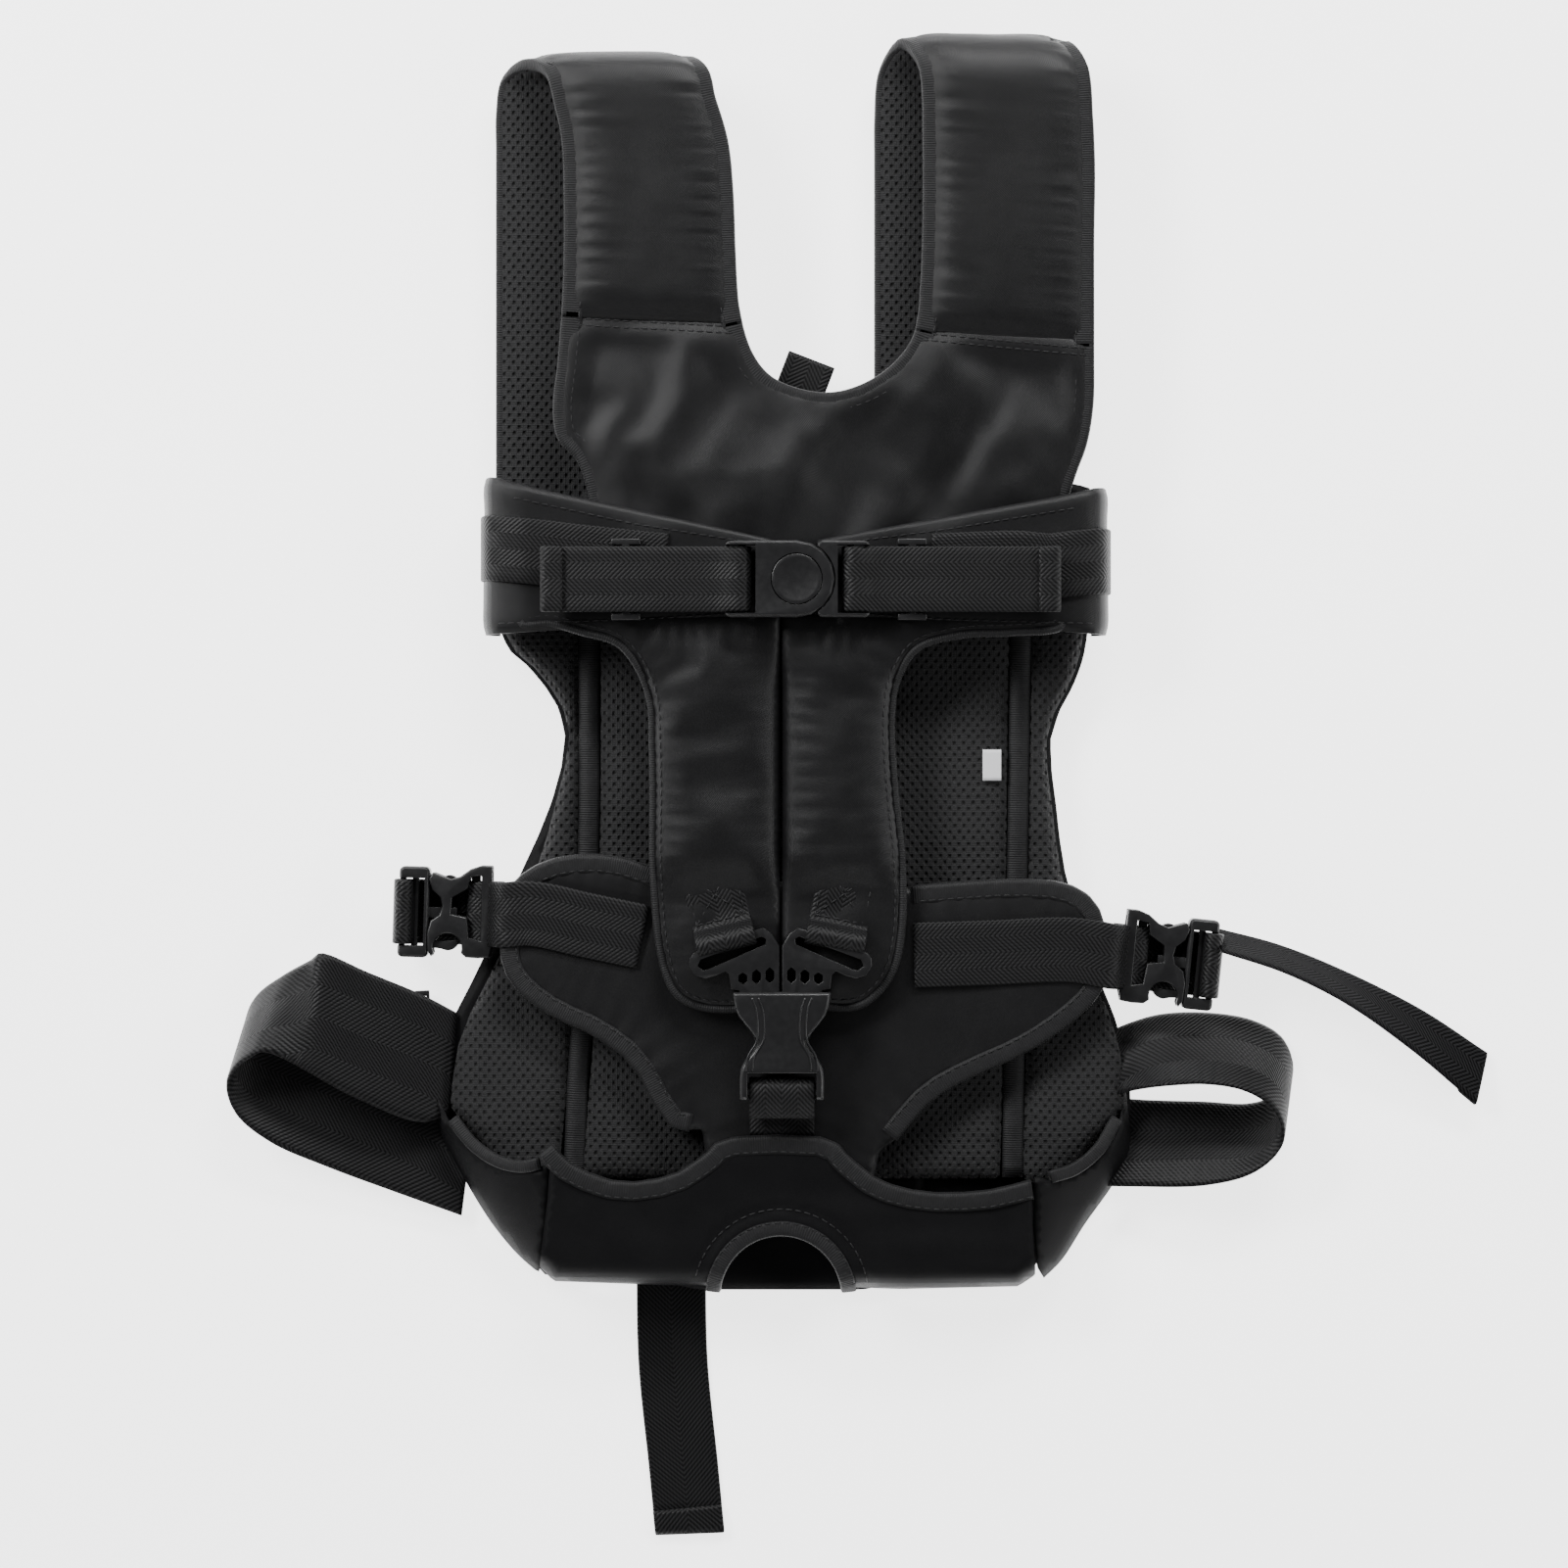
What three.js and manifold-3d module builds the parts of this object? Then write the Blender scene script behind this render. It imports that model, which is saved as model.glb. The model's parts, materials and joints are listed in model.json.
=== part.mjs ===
// A child's safety harness vest, laid on its back. It is padded nylon and spacer mesh, held by webbing:
// a chest belt with a press-button buckle, a crotch strap with a two-tongue buckle, and a side-release
// buckle at each hip. Millimetres: +X is the right as laid out, +Y is towards the shoulders, and +Z is up.
// The origin is on the underside of the back webbing, in the middle of the back.
import * as THREE from "three";
import { mergeVertices } from "three/addons/utils/BufferGeometryUtils.js";
import Module from "manifold-3d";

// ---- Driving dimensions -------------------------------------------------------------------------

const VEST_WIDTH = 272; // across the seat bolsters
const VEST_LENGTH = 486; // top of the shoulder loops to the foot of the seat
const CLEAR = 0.3; // left between two pieces that touch

const WEBBING_W = 25; // belt webbing
const WEBBING_T = 1.4;
const LEG_WEBBING_W = 38; // leg loops
const HEM_L = 9; // folded end of a strap
const HEM_T = 3.6;

const SHELL_T = 4; // outer shell of the back
const PAD_T = 8.5; // spacer mesh pads inside it
const TORSO_GAP = 5; // room between the back pads and the front pieces
const CROTCH_T = 5; // front panel that comes up between the legs
const LIP_T = 5; // front wall of the seat
const BIB_T = 7.5;
const BELT_PANEL_T = 3; // panels under the chest belt
const FRONT_PAD_T = 11; // padded part of the two front pads
const TAB_T = 5.5; // flat foot of a front pad
const SHOULDER_T = 8;
const HANG_TAB_T = 2.4; // webbing tab behind the neck, folded double

const SEAT_HOLE_R = 25; // round hole in the front of the seat's foot
const PIPING_W = 8; // bound seam between two mesh pads

const BAR_W = 2.5; // bar that a strap goes round, in every buckle
const SLOT_W = 10; // window round that bar
const END_SLOT_W = 7.4; // the same at the far end of a hip buckle
const CHEST_BUCKLE = { left: -27.3, right: 27.8, width: 29, height: 10, wall: 2, buttonR: 9.6, bar: 20.6 };
const BUTTON_TRAVEL = 1.5;
const CROTCH_BUCKLE = { width: 37.4, length: 42, waist: 20, height: 12, wall: 2.2, mouth: 17 };
const HIP_BUCKLE = { length: 36, width: 35, height: 11, wall: 2, split: 24, notchX: 17, notchR: 6 };
const ADJUSTER = { rail: 2.4, bar: 2.6, length: 11 };

// ---- Heights, bottom to top ---------------------------------------------------------------------

const Z_SHELL = WEBBING_T + CLEAR;
const Z_PAD = Z_SHELL + SHELL_T + CLEAR;
const Z_CROTCH = Z_PAD + PAD_T + TORSO_GAP;
const Z_LIP = Z_CROTCH + CROTCH_T + CLEAR;
const Z_FRONT = Z_LIP; // underside of the front pads and of the bib
const Z_BELT_PANEL = Z_FRONT + BIB_T + CLEAR;
const Z_BELT_WEB = Z_BELT_PANEL + BELT_PANEL_T + CLEAR;
const Z_BELT = Z_BELT_WEB + WEBBING_T + CLEAR; // underside of the adjusters and of the chest buckle
const Z_TAB_TOP = Z_FRONT + TAB_T;
const Z_CROTCH_BUCKLE = Math.max(Z_TAB_TOP, Z_LIP + LIP_T) + CLEAR;

// ---- Pattern and solids -------------------------------------------------------------------------

const SX = VEST_WIDTH / 272;
const SY = VEST_LENGTH / 486;
const at = (x, y, z = 0) => new THREE.Vector3(x * SX, y * SY, z);
const flat = (p) => new THREE.Vector2(p.x, p.y);

const wasm = await Module();
wasm.setup();

// A closed geometry as a manifold-3d solid.
function solid(geometry) {
  const bare = new THREE.BufferGeometry();
  bare.setAttribute("position", geometry.getAttribute("position"));
  if (geometry.index) bare.setIndex(geometry.index);
  const merged = mergeVertices(bare, 1e-4);
  return new wasm.Manifold(
    new wasm.Mesh({
      numProp: 3,
      vertProperties: merged.attributes.position.array,
      triVerts: new Uint32Array(merged.index.array),
    }),
  );
}

function geometryOf(made) {
  const mesh = made.getMesh();
  return new THREE.BufferGeometry()
    .setAttribute("position", new THREE.BufferAttribute(mesh.vertProperties, 3))
    .setIndex(new THREE.BufferAttribute(mesh.triVerts, 1));
}

const join = (...parts) => parts.map(solid).reduce((a, b) => a.add(b));
const cut = (body, ...tools) => tools.map(solid).reduce((a, b) => a.subtract(b), body);

function box(x0, x1, y0, y1, z0, z1) {
  return new THREE.BoxGeometry(x1 - x0, y1 - y0, z1 - z0).translate(
    (x0 + x1) / 2,
    (y0 + y1) / 2,
    (z0 + z1) / 2,
  );
}

function disc(x, y, r, z0, z1, sides = 32) {
  return new THREE.CylinderGeometry(r, r, z1 - z0, sides)
    .rotateX(Math.PI / 2)
    .translate(x, y, (z0 + z1) / 2);
}

// A flat piece cut to an outline of Vector2 points, from z0 up.
function slab(outline, z0, thickness) {
  return new THREE.ExtrudeGeometry(new THREE.Shape(outline), {
    depth: thickness,
    bevelEnabled: false,
  }).translate(0, 0, z0);
}

// An outline from runs of pattern points: each run is a smooth curve, and runs meet at corners.
function outline(...runs) {
  const all = runs.flatMap((run) => {
    const points = run.map(([x, y]) => flat(at(x, y)));
    return points.length < 3 ? points : new THREE.SplineCurve(points).getPoints(points.length * 2);
  });
  return all.filter((p, i) => p.distanceTo(all[(i + 1) % all.length]) > 0.2);
}

// A band of cloth or webbing between two edge curves, with the given thickness.
function band(edgeA, edgeB, thickness, steps) {
  const curves = [edgeA, edgeB].map((e) => new THREE.CatmullRomCurve3(e, false, "centripetal"));
  const rows = [];
  for (let i = 0; i <= steps; i++) {
    const [a, b] = curves.map((c) => c.getPoint(i / steps));
    const [ta, tb] = curves.map((c) => c.getTangent(i / steps));
    const normal = ta.add(tb).cross(b.clone().sub(a)).normalize().multiplyScalar(thickness / 2);
    rows.push([a.clone().add(normal), b.clone().add(normal), b.clone().sub(normal), a.clone().sub(normal)]);
  }
  const index = [0, 1, 2, 0, 2, 3];
  for (let i = 0; i < steps; i++) {
    for (let k = 0; k < 4; k++) {
      const [p, q, r, s] = [4 * i + k, 4 * i + ((k + 1) % 4), 4 * (i + 1) + ((k + 1) % 4), 4 * (i + 1) + k];
      index.push(p, s, r, p, r, q);
    }
  }
  const last = 4 * steps;
  index.push(last, last + 2, last + 1, last, last + 3, last + 2);
  const geometry = new THREE.BufferGeometry()
    .setFromPoints(rows.flat())
    .setIndex(index);
  return solid(geometry).volume() < 0 ? turned(geometry) : geometry;
}

// The same closed geometry with its faces the other way round.
function turned(geometry) {
  const index = Array.from(geometry.index.array);
  for (let i = 0; i < index.length; i += 3) [index[i], index[i + 1]] = [index[i + 1], index[i]];
  return geometry.setIndex(index);
}

// Webbing of one width along a route, with the direction across it.
function webbing(route, across, width = WEBBING_W, steps = route.length * 3, thickness = WEBBING_T) {
  const half = across.clone().normalize().multiplyScalar(width / 2);
  return band(
    route.map((p) => p.clone().sub(half)),
    route.map((p) => p.clone().add(half)),
    thickness,
    steps,
  );
}

// ---- Materials ----------------------------------------------------------------------------------

const material = (color, roughness) => new THREE.MeshStandardMaterial({ color, roughness, metalness: 0 });
const NYLON = material(0x1b1b1d, 0.55);
const MESH = material(0x161617, 0.9);
const TAPE = material(0x141415, 0.7);
const WEB = material(0x121213, 0.6);
const PLASTIC = material(0x222224, 0.45);
const LABEL = material(0xe8e8ea, 0.8);
const STEEL = new THREE.MeshStandardMaterial({ color: 0xb8b8bc, roughness: 0.3, metalness: 1 });

const vest = new THREE.Group();

function add(name, made, finish, parent = vest) {
  const mesh = new THREE.Mesh(made.isBufferGeometry ? made : geometryOf(made), finish);
  mesh.name = name;
  parent.add(mesh);
}

// ---- Back ---------------------------------------------------------------------------------------

const BACK_LEFT = [
  [-112, 100], [-113, 70], [-113, 42], [-98, 26], [-88, 6], [-93, -22], [-106, -52], [-120, -84],
  [-134, -113], [-138, -140], [-132, -158],
];
const BACK_RIGHT = [
  [127, -158], [132, -140], [128, -113], [117, -84], [107, -52], [103, -24], [101, 4], [111, 26],
  [115, 42], [117, 70], [116, 100],
];
const SEAT_FOOT = -211;
const seatHole = flat(at(-3, SEAT_FOOT));
const seatHoleCut = disc(seatHole.x, seatHole.y, SEAT_HOLE_R * SX, 0, Z_LIP + LIP_T + 1);

add(
  "back_shell",
  slab(outline(BACK_LEFT, [[-101, -200], [-95, -206.5]], [[90, -206.5], [97, -200]], BACK_RIGHT,
    [[96, 104], [60, 92], [-6, 84], [-70, 92], [-96, 104]]), Z_SHELL, SHELL_T),
  NYLON,
);

// Three mesh pads with a bound seam between them. The seams lean a little, as the pads are cut.
const SEAM_LEFT = [[-79, 98], [-78, 0], [-80, -100], [-86, -168]];
const SEAM_RIGHT = [[90, 98], [88, 0], [87, -100], [85, -168]];
const beside = (seam, d) => seam.map(([x, y]) => [x + d / SX, y]);
const seamGap = PIPING_W / 2 + CLEAR;
const insideLeft = BACK_LEFT.slice(1, -1).map(([x, y]) => [x + (y < -40 ? 6 : 2), y]);
const insideRight = BACK_RIGHT.slice(1, -1).map(([x, y]) => [x - 2, y]);
add("mesh_pad_left", slab(outline(insideLeft, [[-110, -168], [-95, -170]],
  beside(SEAM_LEFT, -seamGap).reverse().map(([x, y]) => [x, Math.min(y, 92)])), Z_PAD, PAD_T), MESH);
add("mesh_pad_middle", slab(outline(beside(SEAM_LEFT, seamGap), beside(SEAM_RIGHT, -seamGap).reverse(),
  [[60, 90], [-6, 82], [-66, 90]]), Z_PAD, PAD_T), MESH);
add("mesh_pad_right", slab(outline(beside(SEAM_RIGHT, seamGap).map(([x, y]) => [x, Math.min(y, 92)]),
  [[95, -170], [106, -168]], insideRight), Z_PAD, PAD_T), MESH);
for (const [name, seam] of [["piping_left", SEAM_LEFT], ["piping_right", SEAM_RIGHT]]) {
  const route = seam.map(([x, y]) => at(x, y, Z_PAD + PAD_T / 2));
  add(name, webbing(route, new THREE.Vector3(1, 0, 0), PIPING_W, 9, PAD_T - 1), TAPE);
}

// Webbing sewn across the outside of the back. The vest lies on it.
const across = new THREE.Vector3(0, 1, 0);
const along = new THREE.Vector3(1, 0, 0);
const zBack = WEBBING_T / 2;
add("back_chest_webbing", webbing([at(-108, 75, zBack), at(112, 73, zBack)], across, WEBBING_W, 1), WEB);
add("back_waist_webbing", webbing([at(-104, -70, zBack), at(104, -76, zBack)], across, WEBBING_W, 1), WEB);
const riserTop = SY * 73 - WEBBING_W / 2 - CLEAR;
const riserFoot = SY * -73 + WEBBING_W / 2 + 4 * CLEAR;
const riser = [at(0, 0, zBack).setY(riserFoot), at(0, 0, zBack).setY(riserTop)];
add("back_riser", webbing(riser, along, LEG_WEBBING_W, 1), WEB);

// ---- Seat ---------------------------------------------------------------------------------------

// Front wall of the seat: scooped at each thigh, and turned down at the foot to meet the back.
const lipTop = [
  [-92, -154], [-84, -162], [-66, -168.5], [-46, -166], [-33, -158], [-23, -151.5], [12, -151.5],
  [22, -159], [34, -168], [52, -172.5], [74, -172], [91, -168],
];
const lip = slab(outline([[-96, -203], [-93, -160]], lipTop, [[92, -168], [92, -206]], [[86, -210],
  [0, -211.5], [-90, -208]]), Z_LIP, LIP_T);
const foot = slab(outline([[-90, -203], [90, -206]], [[86, -210], [0, -211.5], [-90, -208]]),
  Z_SHELL + SHELL_T + CLEAR, Z_LIP - Z_SHELL - SHELL_T - CLEAR + 1);
add("seat_lip", cut(join(lip, foot), seatHoleCut), NYLON);

// Gussets close the seat at each side. They are cut back from the mesh pads.
const gussetTop = Z_LIP - 2;
add("seat_gusset_left", slab(outline([[-130, -161], [-114, -171.5], [-98, -173]], [[-97.5, -201],
  [-102, -202], [-108, -196], [-120, -178]]), Z_PAD, gussetTop - Z_PAD), NYLON);
add("seat_gusset_right", slab(outline([[125, -161], [112, -171], [97, -172]], [[94.5, -201], [98, -201],
  [106, -194], [117, -178]]), Z_PAD, gussetTop - Z_PAD), NYLON);

// ---- Crotch panel: up from the seat, with a wing over each thigh --------------------------------

const crotchLeft = [
  [-34, -148], [-47, -146], [-60, -124], [-75, -112], [-92, -104], [-105, -94], [-111, -82], [-110, -60],
  [-101, -49], [-86, -43.5], [-66, -44], [-46, -51],
];
const crotchRight = [
  [46, -55], [60, -54], [84, -52.5], [105, -54], [117, -62], [121, -78], [119, -94], [108, -106],
  [90, -118], [68, -128], [53, -137], [40, -152],
];
add("crotch_panel", slab(outline([[-30, -184], [-34, -150]], crotchLeft, crotchRight, [[34, -156],
  [28, -184]]), Z_CROTCH, CROTCH_T), NYLON);

// ---- Bib and shoulder loops ---------------------------------------------------------------------

const BIB_SEAM_LEFT = 164;
const BIB_SEAM_RIGHT = 157;
add("bib", slab(outline([[-79, 43.8], [-79, 98], [-88, 118], [-91, 132], [-88.5, BIB_SEAM_LEFT - CLEAR]],
  [[-24, BIB_SEAM_LEFT - 4 - CLEAR], [-17, 146], [-4, 136], [11, 133.5], [28, 136], [42, 145],
    [49, BIB_SEAM_RIGHT - CLEAR]],
  [[114.5, BIB_SEAM_RIGHT - 5 - CLEAR], [113, 120], [109, 104], [104, 96], [98, 80], [96, 43.8]]),
Z_FRONT, BIB_T), NYLON);

// Each loop runs from the bib, over the top and down to the back. The back half lies further left.
const zStrap = Z_FRONT + BIB_T / 2;
const zRear = Z_PAD + SHOULDER_T / 2;
function shoulderLoop(name, crown, seam, inner, outerFront, innerFront, outerRear, innerRear, rearFoot) {
  const z = (t) => zRear + (zStrap - zRear) * t;
  const drop = crown - 8;
  const edge = (front, rear, start) => [
    at(front, start, zStrap), at(front, (start + drop) / 2, zStrap), at(front - 1, drop - 14, z(0.98)),
    at(front * 0.75 + rear * 0.25, drop + 3, z(0.84)), at((front + rear) / 2, crown - 1, z(0.5)),
    at(front * 0.25 + rear * 0.75, drop + 3, z(0.16)), at(rear, drop - 14, z(0.02)),
    at(rear, (drop + rearFoot) / 2, zRear), at(rear, rearFoot, zRear),
  ];
  const outerEdge = edge(outerFront, outerRear, seam);
  const innerEdge = edge(innerFront, innerRear, inner);
  add(name, band(outerEdge, innerEdge, SHOULDER_T, 30), NYLON);
}
shoulderLoop("shoulder_loop_left", 262, BIB_SEAM_LEFT, BIB_SEAM_LEFT - 4, -88, -24, -113, -49, 103.5);
shoulderLoop("shoulder_loop_right", 269, BIB_SEAM_RIGHT - 5, BIB_SEAM_RIGHT, 114.5, 49, 97, 33, 104);
const YOKE_T = 3.5;
const zYokeTop = Z_SHELL + SHELL_T + YOKE_T + 2 * CLEAR + HANG_TAB_T / 2;
add("hang_tab", webbing([at(-3, 121, zYokeTop), at(3, 136, zYokeTop + 0.5), at(8, 149, zYokeTop)],
  new THREE.Vector3(0.85, -0.5, 0), 19, 6, HANG_TAB_T), WEB);
add("neck_yoke", slab(outline([[-48.5, 106], [-44, 124], [-20, 118], [0, 126], [20, 118], [31.5, 124]],
  [[31.5, 103], [60, 101]], [[60, 94], [-6, 86], [-48.5, 91]]), Z_SHELL + SHELL_T + CLEAR, YOKE_T), NYLON);

// ---- Panels under the chest belt: up the side of the vest, over the bib, to the middle ----------

function beltPanel(name, side, fold, sideTop, sideFoot, endX, endTop, endFoot) {
  const z = Z_BELT_PANEL + BELT_PANEL_T / 2;
  const low = Z_SHELL + SHELL_T + 2;
  const edge = (sideY, endY) => [
    at(fold - side * 3, sideY, low), at(fold, sideY, low + 6), at(fold, sideY, z - 12),
    at(fold - side * 3, sideY, z - 3), at(fold - side * 12, sideY + (endY - sideY) * 0.1, z),
    at(fold - side * 22, sideY + (endY - sideY) * 0.2, z), at((fold + endX) / 2, (sideY + endY) / 2, z),
    at(endX, endY, z),
  ];
  add(name, band(edge(sideTop, endTop), edge(sideFoot, endFoot), BELT_PANEL_T, 24), NYLON);
}
beltPanel("belt_panel_left", -1, -117.5, 102, 42, -6, 78, 48);
beltPanel("belt_panel_right", 1, 121, 98, 42, 10, 78, 48);

// ---- Front pads: thick down to the sewn foot, which is flat -------------------------------------

const PAD_TOP = 43.5;
const PADS_PART_AT = -4; // the pads part a little left of the middle
function frontPad(name, side, hip, foot) {
  const x0 = PADS_PART_AT + side * 1.2;
  const p = (out, y) => [side * out, y];
  const inner = (dx, y) => [x0 + side * dx, y];
  const whole = slab(outline([inner(0, PAD_TOP), p(hip, PAD_TOP)], [p(hip, 34), p(hip - 5, 18),
    p(hip - 5, -20), p(hip - 4, -50), p(hip - 5, -84), p(hip - 12, foot + 4), p(hip - 22, foot)],
  [inner(8, foot), inner(0, foot + 4)]), Z_FRONT, TAB_T);
  const pad = slab(outline([inner(1, PAD_TOP), p(hip - 1, PAD_TOP)], [p(hip - 1, 34), p(hip - 6.5, 18),
    p(hip - 6.5, -20), p(hip - 5.5, TAB_TOP_Y + 1)], [inner(1.5, TAB_TOP_Y + 1)]),
  Z_FRONT + TAB_T - 1, FRONT_PAD_T - TAB_T + 1);
  add(name, join(whole, pad), NYLON);
}
const TAB_TOP_Y = -43;
frontPad("front_pad_left", -1, 57, -102);
frontPad("front_pad_right", 1, 47, -101);

// ---- Chest belt webbing -------------------------------------------------------------------------

const chestCentre = at(2, 62.6, Z_BELT);
const chestBar = { left: chestCentre.x - CHEST_BUCKLE.bar, right: chestCentre.x + CHEST_BUCKLE.bar };
const zBar = Z_BELT + CHEST_BUCKLE.height / 2;
for (const [name, side, fold, y, xEnd, yEnd] of [
  ["belt_webbing_left", -1, -117.5, 75, -48, 68], ["belt_webbing_right", 1, 121, 70, 54, 68]]) {
  const out = BELT_PANEL_T / 2 + CLEAR + WEBBING_T / 2;
  const z = Z_BELT_PANEL + BELT_PANEL_T / 2;
  const route = [
    at(fold, y, Z_SHELL + SHELL_T + 8).add(new THREE.Vector3(side * out, 0, 0)),
    at(fold, y, z - 12).add(new THREE.Vector3(side * out, 0, 0)),
    at(fold - side * 3, y, z - 3).add(new THREE.Vector3(side * out * 0.85, 0, out * 0.6)),
    at(fold - side * 12, y - 1, z + out), at(fold - side * 22, y - 2, z + out + 0.1),
    at((fold + xEnd) / 2, (y + yEnd) / 2, z + out), at(xEnd, yEnd, z + out),
  ];
  add(name, webbing(route, across, WEBBING_W, 20), WEB);
}

// An adjuster: two side rails, an outer bar under the strap at each end and one over its middle.
const glideLow = 1.4;
const glideGap = WEBBING_T + 2 * CLEAR;
const ADJUSTER_H = glideLow + glideGap + 1.8;
function glide(width) {
  const half = width / 2 + CLEAR * 2;
  const end = ADJUSTER.length / 2;
  const rails = [-1, 1].map((s) => {
    const [a, b] = [s * half, s * (half + ADJUSTER.rail)].sort((p, q) => p - q);
    return box(-end, end, a, b, 0, ADJUSTER_H);
  });
  const bars = [-1, 1].map((s) => {
    const [a, b] = [s * end, s * (end - ADJUSTER.bar)].sort((p, q) => p - q);
    return box(a, b, -half - 1, half + 1, 0, glideLow);
  });
  const bar = ADJUSTER.bar / 2;
  const middle = box(-bar, bar, -half - 1, half + 1, glideLow + glideGap, ADJUSTER_H);
  return join(...rails, ...bars, middle);
}

function place(name, made, finish, x, y, z, turn = 0) {
  const group = new THREE.Group();
  group.position.set(x, y, z);
  group.rotation.z = turn;
  vest.add(group);
  add(name, made, finish, group);
}

// Each belt strap starts at its adjuster, goes round the bar of its buckle half and comes back on top.
const zUnder = Z_BELT + glideLow + CLEAR + WEBBING_T / 2;
const zOver = Z_BELT + ADJUSTER_H + CLEAR + WEBBING_T / 2;
const wrap = BAR_W / 2 + CLEAR + WEBBING_T / 2 + 0.3;
const beltY = chestCentre.y;
for (const [name, side, bar, glideX, tail] of [
  ["belt_strap_left", -1, chestBar.left, -63, -91], ["belt_strap_right", 1, chestBar.right, 46, 98]]) {
  const p = (x, z) => new THREE.Vector3(x, beltY, z);
  const s = side;
  const route = [
    p(glideX * SX + s * 11, zUnder), p(bar + s * 9, zUnder), p(bar + s * 3.5, zBar - 2.9), p(bar, zBar - 3.1),
    p(bar - s * wrap, zBar - 1.2), p(bar - s * wrap, zBar + 1.2), p(bar, zBar + 3.1),
    p(bar + s * 3.5, zBar + 2.9),
    p(bar + s * 10, zOver), p((bar + tail * SX) / 2, zOver), p(tail * SX, zOver),
  ];
  const strap = webbing(route, across, WEBBING_W, 40);
  const hem = box(tail * SX - HEM_L / 2, tail * SX + HEM_L / 2, beltY - WEBBING_W / 2 - 0.6,
    beltY + WEBBING_W / 2 + 0.6, zOver - WEBBING_T / 2, zOver - WEBBING_T / 2 + HEM_T);
  add(name, join(strap, hem), WEB);
  place(`adjuster_${side < 0 ? "left" : "right"}`, glide(WEBBING_W), PLASTIC, glideX * SX, beltY, Z_BELT);
}

// ---- Chest buckle -------------------------------------------------------------------------------

function roundedBar(x0, x1, half, r) {
  const s = new THREE.Shape();
  s.moveTo(x0 + r, -half);
  s.lineTo(x1 - r, -half);
  s.absarc(x1 - r, -half + r, r, -Math.PI / 2, 0, false);
  s.lineTo(x1, half - r);
  s.absarc(x1 - r, half - r, r, 0, Math.PI / 2, false);
  s.lineTo(x0 + r, half);
  s.absarc(x0 + r, half - r, r, Math.PI / 2, Math.PI, false);
  s.lineTo(x0, -half + r);
  s.absarc(x0 + r, -half + r, r, Math.PI, 1.5 * Math.PI, false);
  return s;
}
const plate = (shape, z0, z1, bevel = 0) =>
  new THREE.ExtrudeGeometry(shape, {
    depth: z1 - z0 - 2 * bevel, curveSegments: 4, bevelEnabled: bevel > 0, bevelSize: bevel,
    bevelThickness: bevel, bevelOffset: -bevel, bevelSegments: 1,
  }).translate(0, 0, z0 + bevel);

// The window for a strap in one half of a buckle: a slot each side of a bar at x, open over the bar's
// top and bottom so that the webbing lies inside the thickness. The end beyond the bar is `outward`.
const SLOT_HALF = WEBBING_W / 2 + 0.6;
function strapWindow(x, height, outward, slotW = SLOT_W) {
  const end = x + outward * (slotW / 2 + 6);
  const [e0, e1] = [x, end].sort((p, q) => p - q);
  const barTop = height / 2 + 1.4;
  const barFoot = height / 2 - 1.4;
  return [
    box(x - slotW / 2, x - BAR_W / 2, -SLOT_HALF, SLOT_HALF, -1, height + 1),
    box(x + BAR_W / 2, x + slotW / 2, -SLOT_HALF, SLOT_HALF, -1, height + 1),
    box(x - slotW / 2, x + slotW / 2, -SLOT_HALF, SLOT_HALF, -1, barFoot),
    box(x - slotW / 2, x + slotW / 2, -SLOT_HALF, SLOT_HALF, barTop, height + 1),
    box(e0, e1, -SLOT_HALF, SLOT_HALF, -1, barFoot),
    box(e0, e1, -SLOT_HALF, SLOT_HALF, barTop - 0.7, height + 1),
  ];
}

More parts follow.
